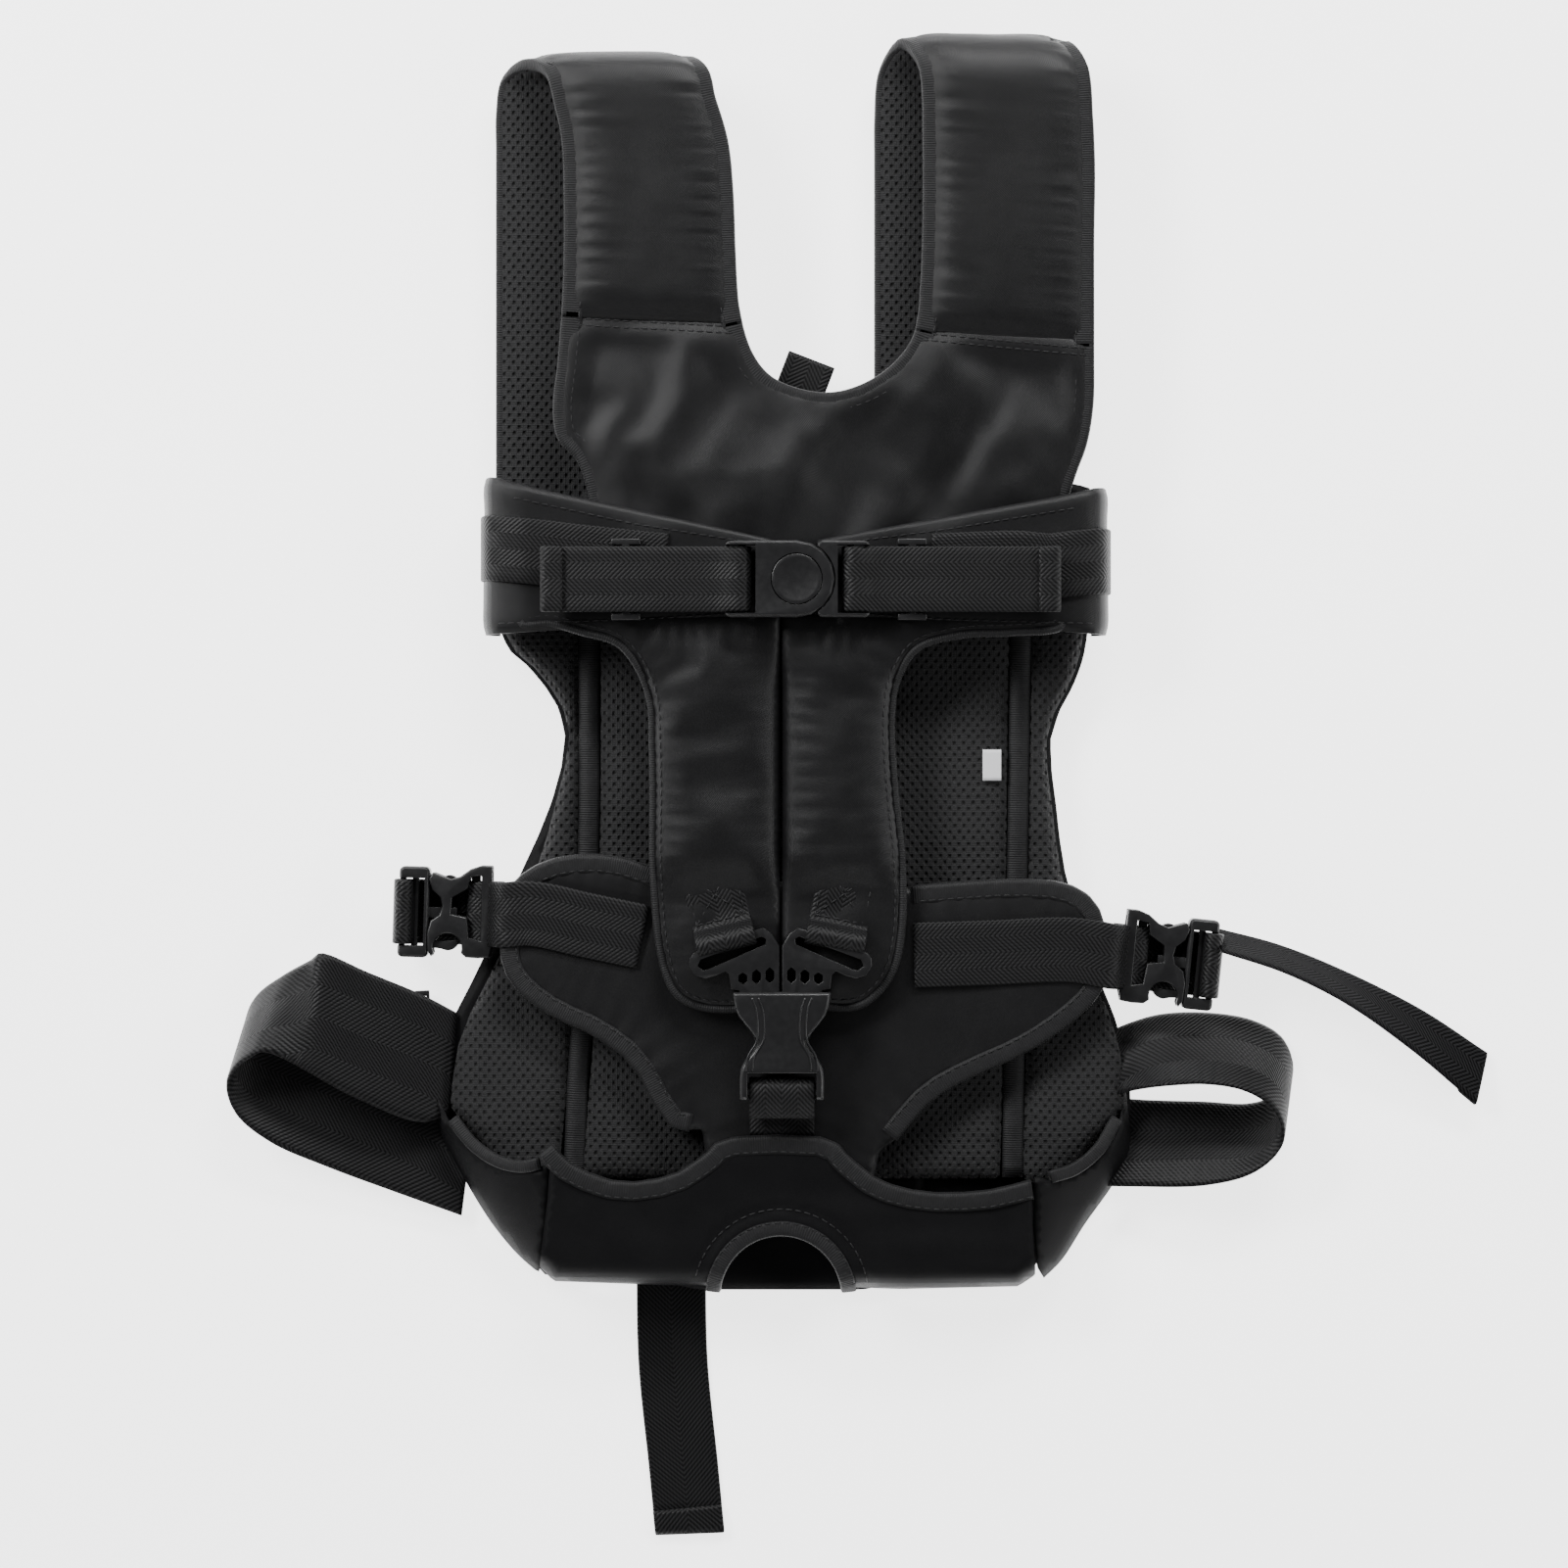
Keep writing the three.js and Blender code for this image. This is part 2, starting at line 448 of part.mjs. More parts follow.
const tongueTop = CHEST_BUCKLE.wall + CLEAR + 1.8;
const flangeT = 0.9;
const capFloor = tongueTop + CLEAR + BUTTON_TRAVEL + flangeT + CLEAR; // underside of the top plate
{
  const { left, right, height, wall, buttonR, bar } = CHEST_BUCKLE;
  const half = CHEST_BUCKLE.width / 2;
  const side = new THREE.Shape();
  side.moveTo(left + 2.5, -half);
  side.lineTo(0, -half);
  side.absarc(0, 0, half, -Math.PI / 2, Math.PI / 2, false);
  side.lineTo(left + 2.5, half);
  side.absarc(left + 2.5, half - 2.5, 2.5, Math.PI / 2, Math.PI, false);
  side.lineTo(left, -half + 2.5);
  side.absarc(left + 2.5, -half + 2.5, 2.5, Math.PI, 1.5 * Math.PI, false);
  const body = cut(
    solid(plate(side, 0, height, 0.8)),
    ...strapWindow(-bar, height, -1),
    box(-13, half + 1, -11, 11, wall, capFloor),
    disc(0, 0, buttonR + CLEAR, capFloor - 1, height + 1),
  );
  place("chest_buckle_body", body, PLASTIC, chestCentre.x, chestCentre.y, Z_BELT);

  // Press button with a flange that keeps it in, and a dished top.
  const flange = disc(0, 0, buttonR + 1, capFloor - CLEAR - flangeT, capFloor - CLEAR);
  const cap = disc(0, 0, buttonR, capFloor - CLEAR - 0.5, height - 0.2);
  const dishR = 40;
  const dishDepth = 1.1;
  const dish = new THREE.SphereGeometry(dishR, 32, 16)
    .rotateX(Math.PI / 2)
    .translate(0, 0, height + dishR - dishDepth);
  place("chest_button", cut(join(flange, cap), dish), PLASTIC, chestCentre.x, chestCentre.y, Z_BELT);

  // Return spring: a wire helix between the floor of the buckle and the button.
  const wire = 0.35;
  const low = wall + CLEAR + wire;
  const high = capFloor - CLEAR - flangeT - CLEAR - wire;
  class Helix extends THREE.Curve {
    getPoint(t) {
      const turn = 2.5 * 2 * Math.PI * t;
      return new THREE.Vector3(4.6 * Math.cos(turn), 4.6 * Math.sin(turn), low + (high - low) * t);
    }
  }
  const section = new THREE.Shape(new THREE.EllipseCurve(0, 0, wire, wire).getPoints(6).slice(0, 6));
  const coil = new THREE.ExtrudeGeometry(section, {
    steps: 30, extrudePath: new Helix(), bevelEnabled: false,
  });
  place("chest_button_spring", coil, STEEL, chestCentre.x, chestCentre.y, Z_BELT);

  // The other half: a webbing frame with a forked tongue that passes either side of the spring.
  const frame = plate(roundedBar(8, right, half, 2.2), 1, height - 0.6, 0.7);
  const tongue = box(-9, bar - SLOT_W / 2 - 0.8, -10.6, 10.6, wall + CLEAR, tongueTop);
  const tines = box(-12, 7.5, -6.4, 6.4, 0, height);
  const round = disc(0, 0, half + CLEAR, -1, height + 1, 64);
  const hollow = cut(solid(frame), round, ...strapWindow(bar, height, 1));
  const forked = hollow.add(cut(solid(tongue), tines));
  place("chest_buckle_tongue", forked, PLASTIC, chestCentre.x, chestCentre.y, Z_BELT);
}

// ---- Waist straps and hip buckles ---------------------------------------------------------------

// One end of a strap round a bar at x = 0 that faces +X, as a route in the XZ plane.
function roundBar() {
  const r = BAR_W / 2 + CLEAR + WEBBING_T / 2 + 0.2;
  const h = 1.4 + CLEAR + WEBBING_T / 2 + 0.1;
  return [[0, h], [-r * 0.95, h * 0.72], [-r * 1.05, 0], [-r * 0.95, -h * 0.72], [0, -h]];
}

const hipBar = 6.6;
const hipOuterBar = HIP_BUCKLE.length - END_SLOT_W / 2 - 2.4;
const Z_HIP = Z_SHELL + SHELL_T + WEBBING_T + 3.2 * CLEAR; // underside of the hip buckles
const zHipBar = Z_HIP + HIP_BUCKLE.height / 2;

// The buckle points outwards along +X. The prongs turn on round roots in the outer half.
function hipBuckle(side, origin, turn) {
  const { length, width, height, wall, split, notchX, notchR } = HIP_BUCKLE;
  const half = width / 2;
  const inner = half - wall - 0.6;
  const group = new THREE.Group();
  group.position.copy(origin);
  group.rotation.z = turn;
  vest.add(group);

  const notches = [-1, 1].map((s) => disc(notchX, s * (half + 0.5), notchR, -1, height + 1));
  const housing = cut(
    solid(plate(roundedBar(0, split, half, 3), 0, height, 0.9)),
    ...strapWindow(hipBar, height, -1),
    box(hipBar + SLOT_W / 2 + 1, split + 1, -inner, inner, wall, height - wall),
    ...notches,
  );
  add(`hip_buckle_${side}_housing`, housing, PLASTIC, group);

  const rootX = split + 0.4;
  const tipX = hipBar + SLOT_W / 2 + 1.5;
  const rootY = inner - 2.6;
  const rootR = 1.6;
  const z0 = wall + CLEAR;
  const z1 = height - wall - CLEAR;
  const base = cut(
    solid(plate(roundedBar(split + CLEAR, length, half, 2), 0.4, height - 0.4, 0.9)),
    ...strapWindow(hipOuterBar, height, 1, END_SLOT_W),
    ...[-1, 1].map((s) => disc(rootX, s * rootY, rootR + CLEAR, z0 - CLEAR, z1 + CLEAR, 24)),
    ...[-1, 1].map((s) => box(split - 1, rootX, s * rootY - 1.9, s * rootY + 1.9, z0 - CLEAR, z1 + CLEAR)),
  );
  const guide = box(hipBar + SLOT_W / 2 + 2, split + 1, -2, 2, z0, z1);
  add(`hip_buckle_${side}_base`, base.add(solid(guide)), PLASTIC, group);

  for (const [which, s] of [["lower", -1], ["upper", 1]]) {
    const y = (v) => s * v;
    const arm = new THREE.Shape();
    arm.moveTo(rootX, y(rootY - 1.2));
    arm.lineTo(notchX - 1.5, y(inner - 4.2));
    arm.lineTo(tipX + 0.4, y(inner - 4.8));
    arm.lineTo(tipX, y(inner - 2.4));
    arm.quadraticCurveTo(tipX + 1.4, y(inner - CLEAR), notchX, y(inner - CLEAR));
    arm.lineTo(notchX + 2.6, y(inner - 1));
    arm.lineTo(rootX, y(rootY + 1.2));
    const prong = join(plate(arm, z0, z1), disc(rootX, s * rootY, rootR, z0, z1, 24));
    add(`hip_prong_${side}_${which}`, prong, PLASTIC, group);
  }
}

const hipLeft = { origin: at(-115.5, -65.5, Z_HIP), turn: Math.PI - 0.03 };
const hipRight = { origin: at(128, -82, Z_HIP), turn: -0.1 };
hipBuckle("left", hipLeft.origin, hipLeft.turn);
hipBuckle("right", hipRight.origin, hipRight.turn);

// Waist strap: sewn along the crotch panel, off its edge and round the near bar of the hip buckle.
// Hip strap: from the back shell, under the buckle and round its far bar.
for (const [side, hip, sewn, edgeAt] of [
  ["left", hipLeft, [-57, -74], [-100, -65]], ["right", hipRight, [47, -81], [108, -79]]]) {
  const dir = new THREE.Vector3(Math.cos(hip.turn), Math.sin(hip.turn), 0);
  const aside = new THREE.Vector3(-dir.y, dir.x, 0);
  const p = (x, z) => hip.origin.clone().addScaledVector(dir, x).setZ(zHipBar + z);
  const zSewn = Z_CROTCH + CROTCH_T + CLEAR + WEBBING_T / 2;
  const waist = [
    at(...sewn, zSewn), at(...edgeAt, zSewn), p(-4.5, zSewn - zHipBar), p(-2.2, zSewn - zHipBar - 1.6),
    p(0.6, 5.4), p(hipBar - 3.4, 3.4), ...roundBar().map(([x, z]) => p(hipBar - x, z)),
    p(hipBar - 5, -3), p(hipBar - 9, -1),
  ];
  add(`waist_strap_${side}`, webbing(waist, aside, WEBBING_W, 36), WEB);
  const zLow = Z_SHELL + SHELL_T + CLEAR + WEBBING_T / 2 - zHipBar;
  const r = BAR_W / 2 + CLEAR + WEBBING_T / 2 + 0.2;
  const hipStrap = [
    p(-4, zLow), p(hipOuterBar - 4, zLow), p(hipOuterBar + r - 1, zLow + 0.6), p(hipOuterBar + r, -2.4),
    p(hipOuterBar + r, 1), p(hipOuterBar + 0.6, 2.7), p(hipOuterBar - 0.6, 2.7), p(hipOuterBar - r, 1),
    p(hipOuterBar - r, -2.4),
  ];
  add(`hip_strap_${side}`, webbing(hipStrap, aside, WEBBING_W, 32), WEB);
}

// ---- Crotch buckle: a housing on the crotch strap takes one tongue from each front pad ----------

const CROTCH_X = -3.6;
const crotchTop = -93.6;
const crotchBar = -37; // from the top of the housing to the bar for the crotch strap
{
  const { width, length, waist, height, wall, mouth } = CROTCH_BUCKLE;
  const h = width / 2;
  const w = waist / 2;
  const sides = [
    [-h, -1], [-h + 1.6, -9], [-w - 1, -17], [-w + 0.6, -21], [-w - 4, -27], [-w - 6, -32], [-w - 6, -length],
  ];
  const curve = new THREE.SplineCurve(sides.map(([x, y]) => new THREE.Vector2(x, y))).getPoints(16);
  const other = curve.map((p) => new THREE.Vector2(-p.x, p.y)).reverse();
  const half = WEBBING_W / 2 + 0.6;
  const housing = cut(
    solid(plate(new THREE.Shape([...curve, ...other]), 0, height, 1)),
    box(-mouth, mouth, -9, 1, wall, height - wall),
    box(-w + 1.4, w - 1.4, -26, -8, wall, height - wall),
    ...[-1, 1].map((s) => box(s < 0 ? -mouth : w - 3, s < 0 ? -w + 3 : mouth, -24, -8, wall, height - wall)),
    box(-half, half, crotchBar + BAR_W / 2, crotchBar + BAR_W / 2 + 4, -1, height + 1),
    box(-half, half, crotchBar - 3.4, crotchBar - BAR_W / 2, -1, height + 1),
    box(-half, half, -length - 1, crotchBar + 5.25, -1, height / 2 - 1.4),
    box(-half, half, -length - 1, crotchBar + 5.25, height / 2 + 1.2, height + 1),
  );
  const origin = at(CROTCH_X, crotchTop, Z_CROTCH_BUCKLE);
  place("crotch_buckle_housing", housing, PLASTIC, origin.x, origin.y, origin.z);

  // Each tongue: a plate with a window for its strap, a blade in the mouth, and a springy prong.
  const z0 = wall + CLEAR;
  const z1 = height - wall - CLEAR;
  for (const [name, s] of [["left", -1], ["right", 1]]) {
    const g = CLEAR / 2 + 0.1;
    const shape = new THREE.Shape();
    shape.moveTo(s * g, 0.6);
    shape.lineTo(s * g, 24 - 2);
    shape.lineTo(s * (g + 2), 24);
    shape.lineTo(s * (h - 1), 24 - 7);
    shape.quadraticCurveTo(s * (h + 0.6), 24 - 14, s * (h - 2.6), 0.6);
    const slope = -s * 0.24;
    const windows = [9.2, 15.6].map((y) =>
      new THREE.BoxGeometry(WEBBING_W * 0.56, 3.4, height * 2).rotateZ(slope).translate((s * h) / 2, y, 4));
    const blade = box(...[s * g, s * (w - 1.8 - 0.4)].sort((p, q) => p - q), -20, 2, z0, z1);
    const neck = box(...[s * g, s * (mouth - 0.8)].sort((p, q) => p - q), -6, 1.5, z0, z1);
    const rootX = s * (mouth - 3);
    const pocket = [
      disc(rootX, -5, 1.6 + CLEAR, z0 - 1, z1 + 1, 24),
      box(...[rootX - s * 4, rootX + s * 1.9].sort((p, q) => p - q), -8, -5, z0 - 1, z1 + 1),
    ];
    const hub = box(...[s * (w - 1.8 - 0.6), s * (mouth - 0.8)].sort((p, q) => p - q), -7.4, -2, z0, z1);
    const head = plate(shape, wall, height - 2.8, 0.8);
    const tongue = cut(join(head, blade, neck, hub), ...windows, ...pocket);
    place(`crotch_tongue_${name}`, tongue, PLASTIC, origin.x, origin.y, origin.z);
    const arm = new THREE.Shape();
    arm.moveTo(rootX - s * 1.2, -5);
    arm.lineTo(s * (w - 0.6), -13);
    arm.lineTo(s * (w - 1), -22);
    arm.lineTo(s * (w + 1.2), -17);
    arm.lineTo(rootX + s * 1.2, -5);
    const prong = join(plate(arm, z0, z1), disc(rootX, -5, 1.6, z0, z1, 24));
    place(`crotch_prong_${name}`, prong, PLASTIC, origin.x, origin.y, origin.z);
  }
}

// The sewn ends that hold the buckle: a webbing square on the foot of each front pad, and one on the
// crotch panel below the housing.
const zTab = Z_TAB_TOP + CLEAR;
for (const [name, x, y, lean] of [
  ["strap_tab_left", -29.3, -57.5, 0.24], ["strap_tab_right", 20.4, -57.2, -0.2]]) {
  const tab = new THREE.BoxGeometry(WEBBING_W, 24, WEBBING_T).translate(0, 0, WEBBING_T / 2);
  const c = at(x, y, zTab);
  place(name, tab, WEB, c.x, c.y, c.z, lean);
}
const zCrotchTop = Z_CROTCH + CROTCH_T + CLEAR + WEBBING_T / 2;
const crotchEnds = [at(CROTCH_X, -134, zCrotchTop), at(CROTCH_X, -150, zCrotchTop)];
add("crotch_webbing", webbing(crotchEnds, along, WEBBING_W, 1), WEB);
{
  const barY = crotchTop * SY + crotchBar;
  const z = Z_CROTCH_BUCKLE + CROTCH_BUCKLE.height / 2;
  const p = (y, dz) => new THREE.Vector3(CROTCH_X * SX, barY + y, z + dz);
  const zLow = Z_LIP + LIP_T + CLEAR + WEBBING_T / 2 - z;
  const route = [
    p(-12, zLow), p(-8, zLow), p(-3.6, -3.2), p(0, -2.7), p(2.7, -1.1), p(2.7, 1.1), p(0, 2.7), p(-3, 2.9),
    p(-6.4, 2.5), p(-12, 0.6),
  ];
  add("crotch_strap", webbing(route, along, WEBBING_W, 30), WEB);
}

// ---- Leg loops: wide webbing that stands half on edge beside the seat ---------------------------

function legLoop(name, lowEdge, highEdge) {
  const edge = (run) => run.map(([x, y, z]) => at(x, y, z));
  add(name, band(edge(lowEdge), edge(highEdge), WEBBING_T, 44), WEB);
}
legLoop("leg_loop_right", [
  [128.4, -110, 2], [144, -105, 1], [163, -104.5, 1], [180, -107.5, 1], [191, -114, 1], [195, -124, 1],
  [192, -134, 1], [180, -139.5, 1], [160, -139, 1], [132.8, -137, 1.5],
], [
  [132.8, -134, 21], [146, -131, 25], [160, -130.5, 26], [174, -133, 26], [184, -139, 25], [189, -148, 23],
  [188, -156, 21], [178, -165, 20], [160, -170, 18], [129, -170, 13],
]);
legLoop("leg_loop_left", [
  [-147, -97, 9], [-164, -88, 13], [-180, -81.5, 15], [-196, -88, 8], [-209, -99, 2], [-215, -114, 1],
  [-208, -129, 1], [-190, -139, 1], [-166, -148, 1], [-145, -157, 1], [-126.2, -166.4, 1.5],
], [
  [-147, -135, 12], [-168, -127, 21], [-190, -118, 26], [-205, -116, 25], [-214, -122, 21], [-218, -132, 18],
  [-214, -143, 17], [-200, -154, 15], [-178, -163, 12], [-152, -174, 9], [-130, -182.5, 6],
]);
{
  const frame = box(-2.9, 2.9, -21.5, 21.5, 0, 3);
  const windows = [box(-1.7, -0.5, -19.3, 19.3, -1, 4), box(0.7, 1.9, -19.3, 19.3, -1, 4)];
  const c = at(-142.4, -117, 3);
  place("leg_adjuster_left", cut(solid(frame), ...windows), PLASTIC, c.x, c.y, c.z, 0.05);
}

// ---- Free tails ---------------------------------------------------------------------------------

{
  const z = WEBBING_T / 2;
  const route = [at(-46.8, -196, z), at(-46, -240, z), at(-42, -280, z), at(-39.8, -303, z)];
  const end = route.at(-1);
  const half = WEBBING_W / 2 + 0.5;
  const hem = box(end.x - half, end.x + half, end.y - 3.5, end.y + HEM_L, 0, HEM_T);
  add("foot_tail", join(webbing(route, along, WEBBING_W, 9), hem), WEB);
}
add("hip_tail_right", band(
  [at(165.4, -71.5, 1), at(190, -78, 1), at(215, -88, 1), at(245, -103, 1), at(271, -120, 1)],
  [at(165.8, -80, 24), at(190, -88, 23), at(214, -100, 20), at(241, -119, 14), at(265.5, -139.5, 8)],
  WEBBING_T * 1.2, 14), WEB);

// Blank sewn-in label beside the right seam of the back.
const label = at(77.5, -8, Z_PAD + PAD_T + CLEAR);
place("care_label", box(-3.6, 3.6, -6, 6, 0, 0.8), LABEL, label.x, label.y, label.z);

export default vest;
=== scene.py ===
# %% [markdown]
# # A child's safety harness vest
# The vest lies on its back, buckled up. It is made of three kinds of thing: flat panels of cloth, webbing straps,
# and moulded buckles. Each kind gets one maker's helper, and each piece is then a few lines that use it.
# The CAD frame gives every place and size, so it is loaded first, and nothing in it is ever moved.

# %% Load the frame
import json
import math

import bpy
import bmesh
import numpy as np
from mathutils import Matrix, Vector
from mathutils.bvhtree import BVHTree
from mathutils.geometry import delaunay_2d_cdt


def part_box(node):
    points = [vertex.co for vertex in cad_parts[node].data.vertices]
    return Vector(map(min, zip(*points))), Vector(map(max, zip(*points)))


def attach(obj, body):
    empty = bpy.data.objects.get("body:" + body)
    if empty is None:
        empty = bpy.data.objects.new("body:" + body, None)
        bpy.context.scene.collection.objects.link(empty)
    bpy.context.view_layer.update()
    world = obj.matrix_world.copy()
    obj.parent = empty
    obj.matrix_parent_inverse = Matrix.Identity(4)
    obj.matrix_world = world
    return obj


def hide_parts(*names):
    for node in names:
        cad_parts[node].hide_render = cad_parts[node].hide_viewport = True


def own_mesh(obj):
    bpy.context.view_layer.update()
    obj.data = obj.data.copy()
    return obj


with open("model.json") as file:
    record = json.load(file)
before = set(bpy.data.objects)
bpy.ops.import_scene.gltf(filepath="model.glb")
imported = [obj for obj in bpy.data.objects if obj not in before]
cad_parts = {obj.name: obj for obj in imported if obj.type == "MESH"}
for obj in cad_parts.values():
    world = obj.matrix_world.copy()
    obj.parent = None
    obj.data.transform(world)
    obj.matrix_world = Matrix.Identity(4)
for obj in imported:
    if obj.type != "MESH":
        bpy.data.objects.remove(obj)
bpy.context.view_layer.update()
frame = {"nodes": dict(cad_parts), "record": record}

MM = 0.001

# %% [markdown]
# ## Camera, floor and light
# The vest is seen from straight above, so the camera looks down its own -Z with +Y up, and needs no turning.
# A long lens from nearly two metres keeps the thick parts from leaning outwards. Black cloth only shows its
# folds in the light it mirrors, so the lamps are large and low at the sides, and the floor is nearly white.

# %% Camera and studio
VIEW_WIDTH = 0.604
VIEW_CENTRE = (-0.0028, -0.0153)
CAMERA_HEIGHT = 1.8
CLOTH_HEIGHT = 0.02
SENSOR = 36.0

camera = bpy.data.objects.new("camera", bpy.data.cameras.new("camera"))
camera.data.sensor_width = SENSOR
camera.data.lens = SENSOR * (CAMERA_HEIGHT - CLOTH_HEIGHT) / VIEW_WIDTH
camera.location = (*VIEW_CENTRE, CAMERA_HEIGHT)
bpy.context.scene.collection.objects.link(camera)
bpy.context.scene.camera = camera

floor_material = bpy.data.materials.new("pale_floor")
floor_material.use_nodes = True
floor_shader = floor_material.node_tree.nodes["Principled BSDF"]
floor_shader.inputs["Base Color"].default_value = (0.92, 0.92, 0.93, 1)
floor_shader.inputs["Roughness"].default_value = 0.9
floor_shader.inputs["Emission Color"].default_value = (1, 1, 1, 1)
floor_shader.inputs["Emission Strength"].default_value = 2.8
bpy.ops.mesh.primitive_plane_add(size=8, location=(0, 0, -0.0002))
floor = bpy.context.object
floor.name = "floor"
floor.data.materials.append(floor_material)

world = bpy.data.worlds.new("soft_sky")
world.use_nodes = True
world.node_tree.nodes["Background"].inputs["Color"].default_value = (1, 1, 1, 1)
world.node_tree.nodes["Background"].inputs["Strength"].default_value = 0.1
bpy.context.scene.world = world


def lamp(name, place, aim, size, power):
    light = bpy.data.lights.new(name, "AREA")
    light.shape = "RECTANGLE"
    light.size, light.size_y = size
    light.energy = power
    holder = bpy.data.objects.new(name, light)
    holder.location = place
    holder.rotation_euler = (Vector(aim) - Vector(place)).to_track_quat("-Z", "Y").to_euler()
    bpy.context.scene.collection.objects.link(holder)
    return holder


lamp("window_left", (-1.0, 0.75, 0.95), (0, 0, 0), (0.9, 0.3), 26)
lamp("window_top", (0.35, 1.3, 0.9), (0, 0, 0), (0.9, 0.25), 22)
lamp("fill_right", (1.35, -0.1, 0.8), (0, 0, 0), (0.8, 0.3), 7)
lamp("fill_low", (-0.2, -1.4, 0.8), (0, 0, 0), (0.8, 0.3), 6)
print("camera lens", round(camera.data.lens), "mm")

# %% [markdown]
# ## Shader arithmetic
# Every finish here is a repeat: ribs, knit cells, a woven grain. Each is a sum of waves, so two helpers that write
# a shader's sums in one line keep the materials short enough to read.

# %% Shader helpers


class Finish:
    """One material, and the sums that drive its bump and colour."""

    def __init__(self, name, colour, roughness, **sockets):
        self.material = bpy.data.materials.new(name)
        self.material.use_nodes = True
        self.tree = self.material.node_tree
        self.shader = self.tree.nodes["Principled BSDF"]
        self.shader.inputs["Base Color"].default_value = (*colour, 1)
        self.shader.inputs["Roughness"].default_value = roughness
        for socket, value in sockets.items():
            self.shader.inputs[socket.replace("_", " ")].default_value = value

    def sum(self, kind, a, b=0.0, c=0.0):
        node = self.tree.nodes.new("ShaderNodeMath")
        node.operation = kind
        for socket, value in zip(node.inputs, (a, b, c)):
            if isinstance(value, (int, float)):
                socket.default_value = value
            else:
                self.tree.links.new(value, socket)
        return node.outputs[0]

    def wave(self, x, period, shift=0.0):
        """A sine of x with this period, from -1 to 1."""
        return self.sum("SINE", self.sum("MULTIPLY_ADD", x, 2 * math.pi / period, shift))

    def place(self, kind="Object"):
        """x, y and z as sockets, in millimetres: on the piece for Object, along the strap or edge for UV."""
        coordinates = self.tree.nodes.new("ShaderNodeTexCoord")
        scale = self.tree.nodes.new("ShaderNodeVectorMath")
        scale.operation = "SCALE"
        scale.inputs["Scale"].default_value = 1000.0
        self.tree.links.new(coordinates.outputs[kind], scale.inputs[0])
        split = self.tree.nodes.new("ShaderNodeSeparateXYZ")
        self.tree.links.new(scale.outputs[0], split.inputs[0])
        return split.outputs, scale.outputs[0]

    def noise(self, vector, size, detail=3.0):
        """Soft random cloud whose lumps are about this many millimetres."""
        node = self.tree.nodes.new("ShaderNodeTexNoise")
        node.inputs["Scale"].default_value = 1.0 / size
        node.inputs["Detail"].default_value = detail
        self.tree.links.new(vector, node.inputs["Vector"])
        return node.outputs["Fac"]

    def bump(self, height, depth, strength=1.0):
        """Height is a sum from about 0 to 1, and depth is what 1 stands for, in millimetres."""
        node = self.tree.nodes.new("ShaderNodeBump")
        node.inputs["Strength"].default_value = strength
        node.inputs["Distance"].default_value = depth * MM
        self.tree.links.new(height, node.inputs["Height"])
        previous = self.shader.inputs["Normal"].links
        if previous:
            self.tree.links.new(previous[0].from_socket, node.inputs["Normal"])
        self.tree.links.new(node.outputs[0], self.shader.inputs["Normal"])

    def tint(self, by, dark, light):
        """Colour between dark and light as the sum `by` goes from 0 to 1."""
        node = self.tree.nodes.new("ShaderNodeMix")
        node.data_type = "RGBA"
        node.clamp_factor = True
        node.inputs[6].default_value = (*dark, 1)
        node.inputs[7].default_value = (*light, 1)
        self.tree.links.new(by, node.inputs[0])
        self.tree.links.new(node.outputs[2], self.shader.inputs["Base Color"])

    def rough(self, by, low, high):
        node = self.tree.nodes.new("ShaderNodeMapRange")
        node.inputs["To Min"].default_value = low
        node.inputs["To Max"].default_value = high
        self.tree.links.new(by, node.inputs["Value"])
        self.tree.links.new(node.outputs[0], self.shader.inputs["Roughness"])


# %% [markdown]
# ## The finishes
# **Nylon shell.** A tight plain weave with a satin face. Its threads are under half a millimetre, so they are a
# fine bump, and slow clouds of roughness keep the panels from looking like plastic.
# ** Spacer mesh.** A knit with open cells in staggered rows. The product of two cosines gives that stagger at once,
# and it drives both the dents and a painted shade that darkens the inside of each cell.
# ** Webbing.** Ribs that run in chevrons: the along-strap position is pushed by a zigzag of the across-strap one. The same
# rib height paints shade into the grooves and a highlight on the crests.

# %% Cloth finishes
BLACK = (0.008, 0.008, 0.009)


def nylon(name, roughness, gloss):
    f = Finish(name, BLACK, roughness, Specular_IOR_Level=gloss)
    (x, y, z), vector = f.place()
    pitch = 0.62
    threads = f.sum("MULTIPLY", f.wave(f.sum("ADD", x, z), pitch), f.wave(f.sum("ADD", y, z), pitch))
    cloud = f.noise(vector, 16, 2)
    f.bump(f.sum("MULTIPLY_ADD", threads, 0.5, 0.5), 0.05)
    f.tint(cloud, (0.0035, 0.0035, 0.004), (0.006, 0.006, 0.0066))
    f.rough(cloud, roughness - 0.05, roughness + 0.06)
    return f.material


def spacer_mesh(name):
    f = Finish(name, BLACK, 0.72, Sheen_Weight=0.06, Sheen_Roughness=0.5, Specular_IOR_Level=0.3)
    (x, y, z), vector = f.place()
    wobble = f.sum("MULTIPLY", f.noise(vector, 14), 1.5)
    rows = f.wave(f.sum("ADD", x, wobble), 3.7)
    columns = f.wave(f.sum("ADD", y, wobble), 4.6)
    cells = f.sum("MULTIPLY", rows, columns)
    hole = f.sum("SMOOTH_MIN", f.sum("MULTIPLY_ADD", cells, -1.6, 1.35), 1.0, 0.3)
    knit = f.sum("MULTIPLY", f.wave(f.sum("ADD", x, y), 1.3), f.wave(f.sum("SUBTRACT", x, y), 1.3))
    f.bump(f.sum("MULTIPLY_ADD", knit, 0.5, 0.5), 0.16)
    f.bump(hole, 1.1)
    # painted shade: the colour goes nearly black inside each cell, where the knit would lie in shadow
    f.tint(hole, (0.0002, 0.0002, 0.0002), (0.015, 0.015, 0.016))
    return f.material


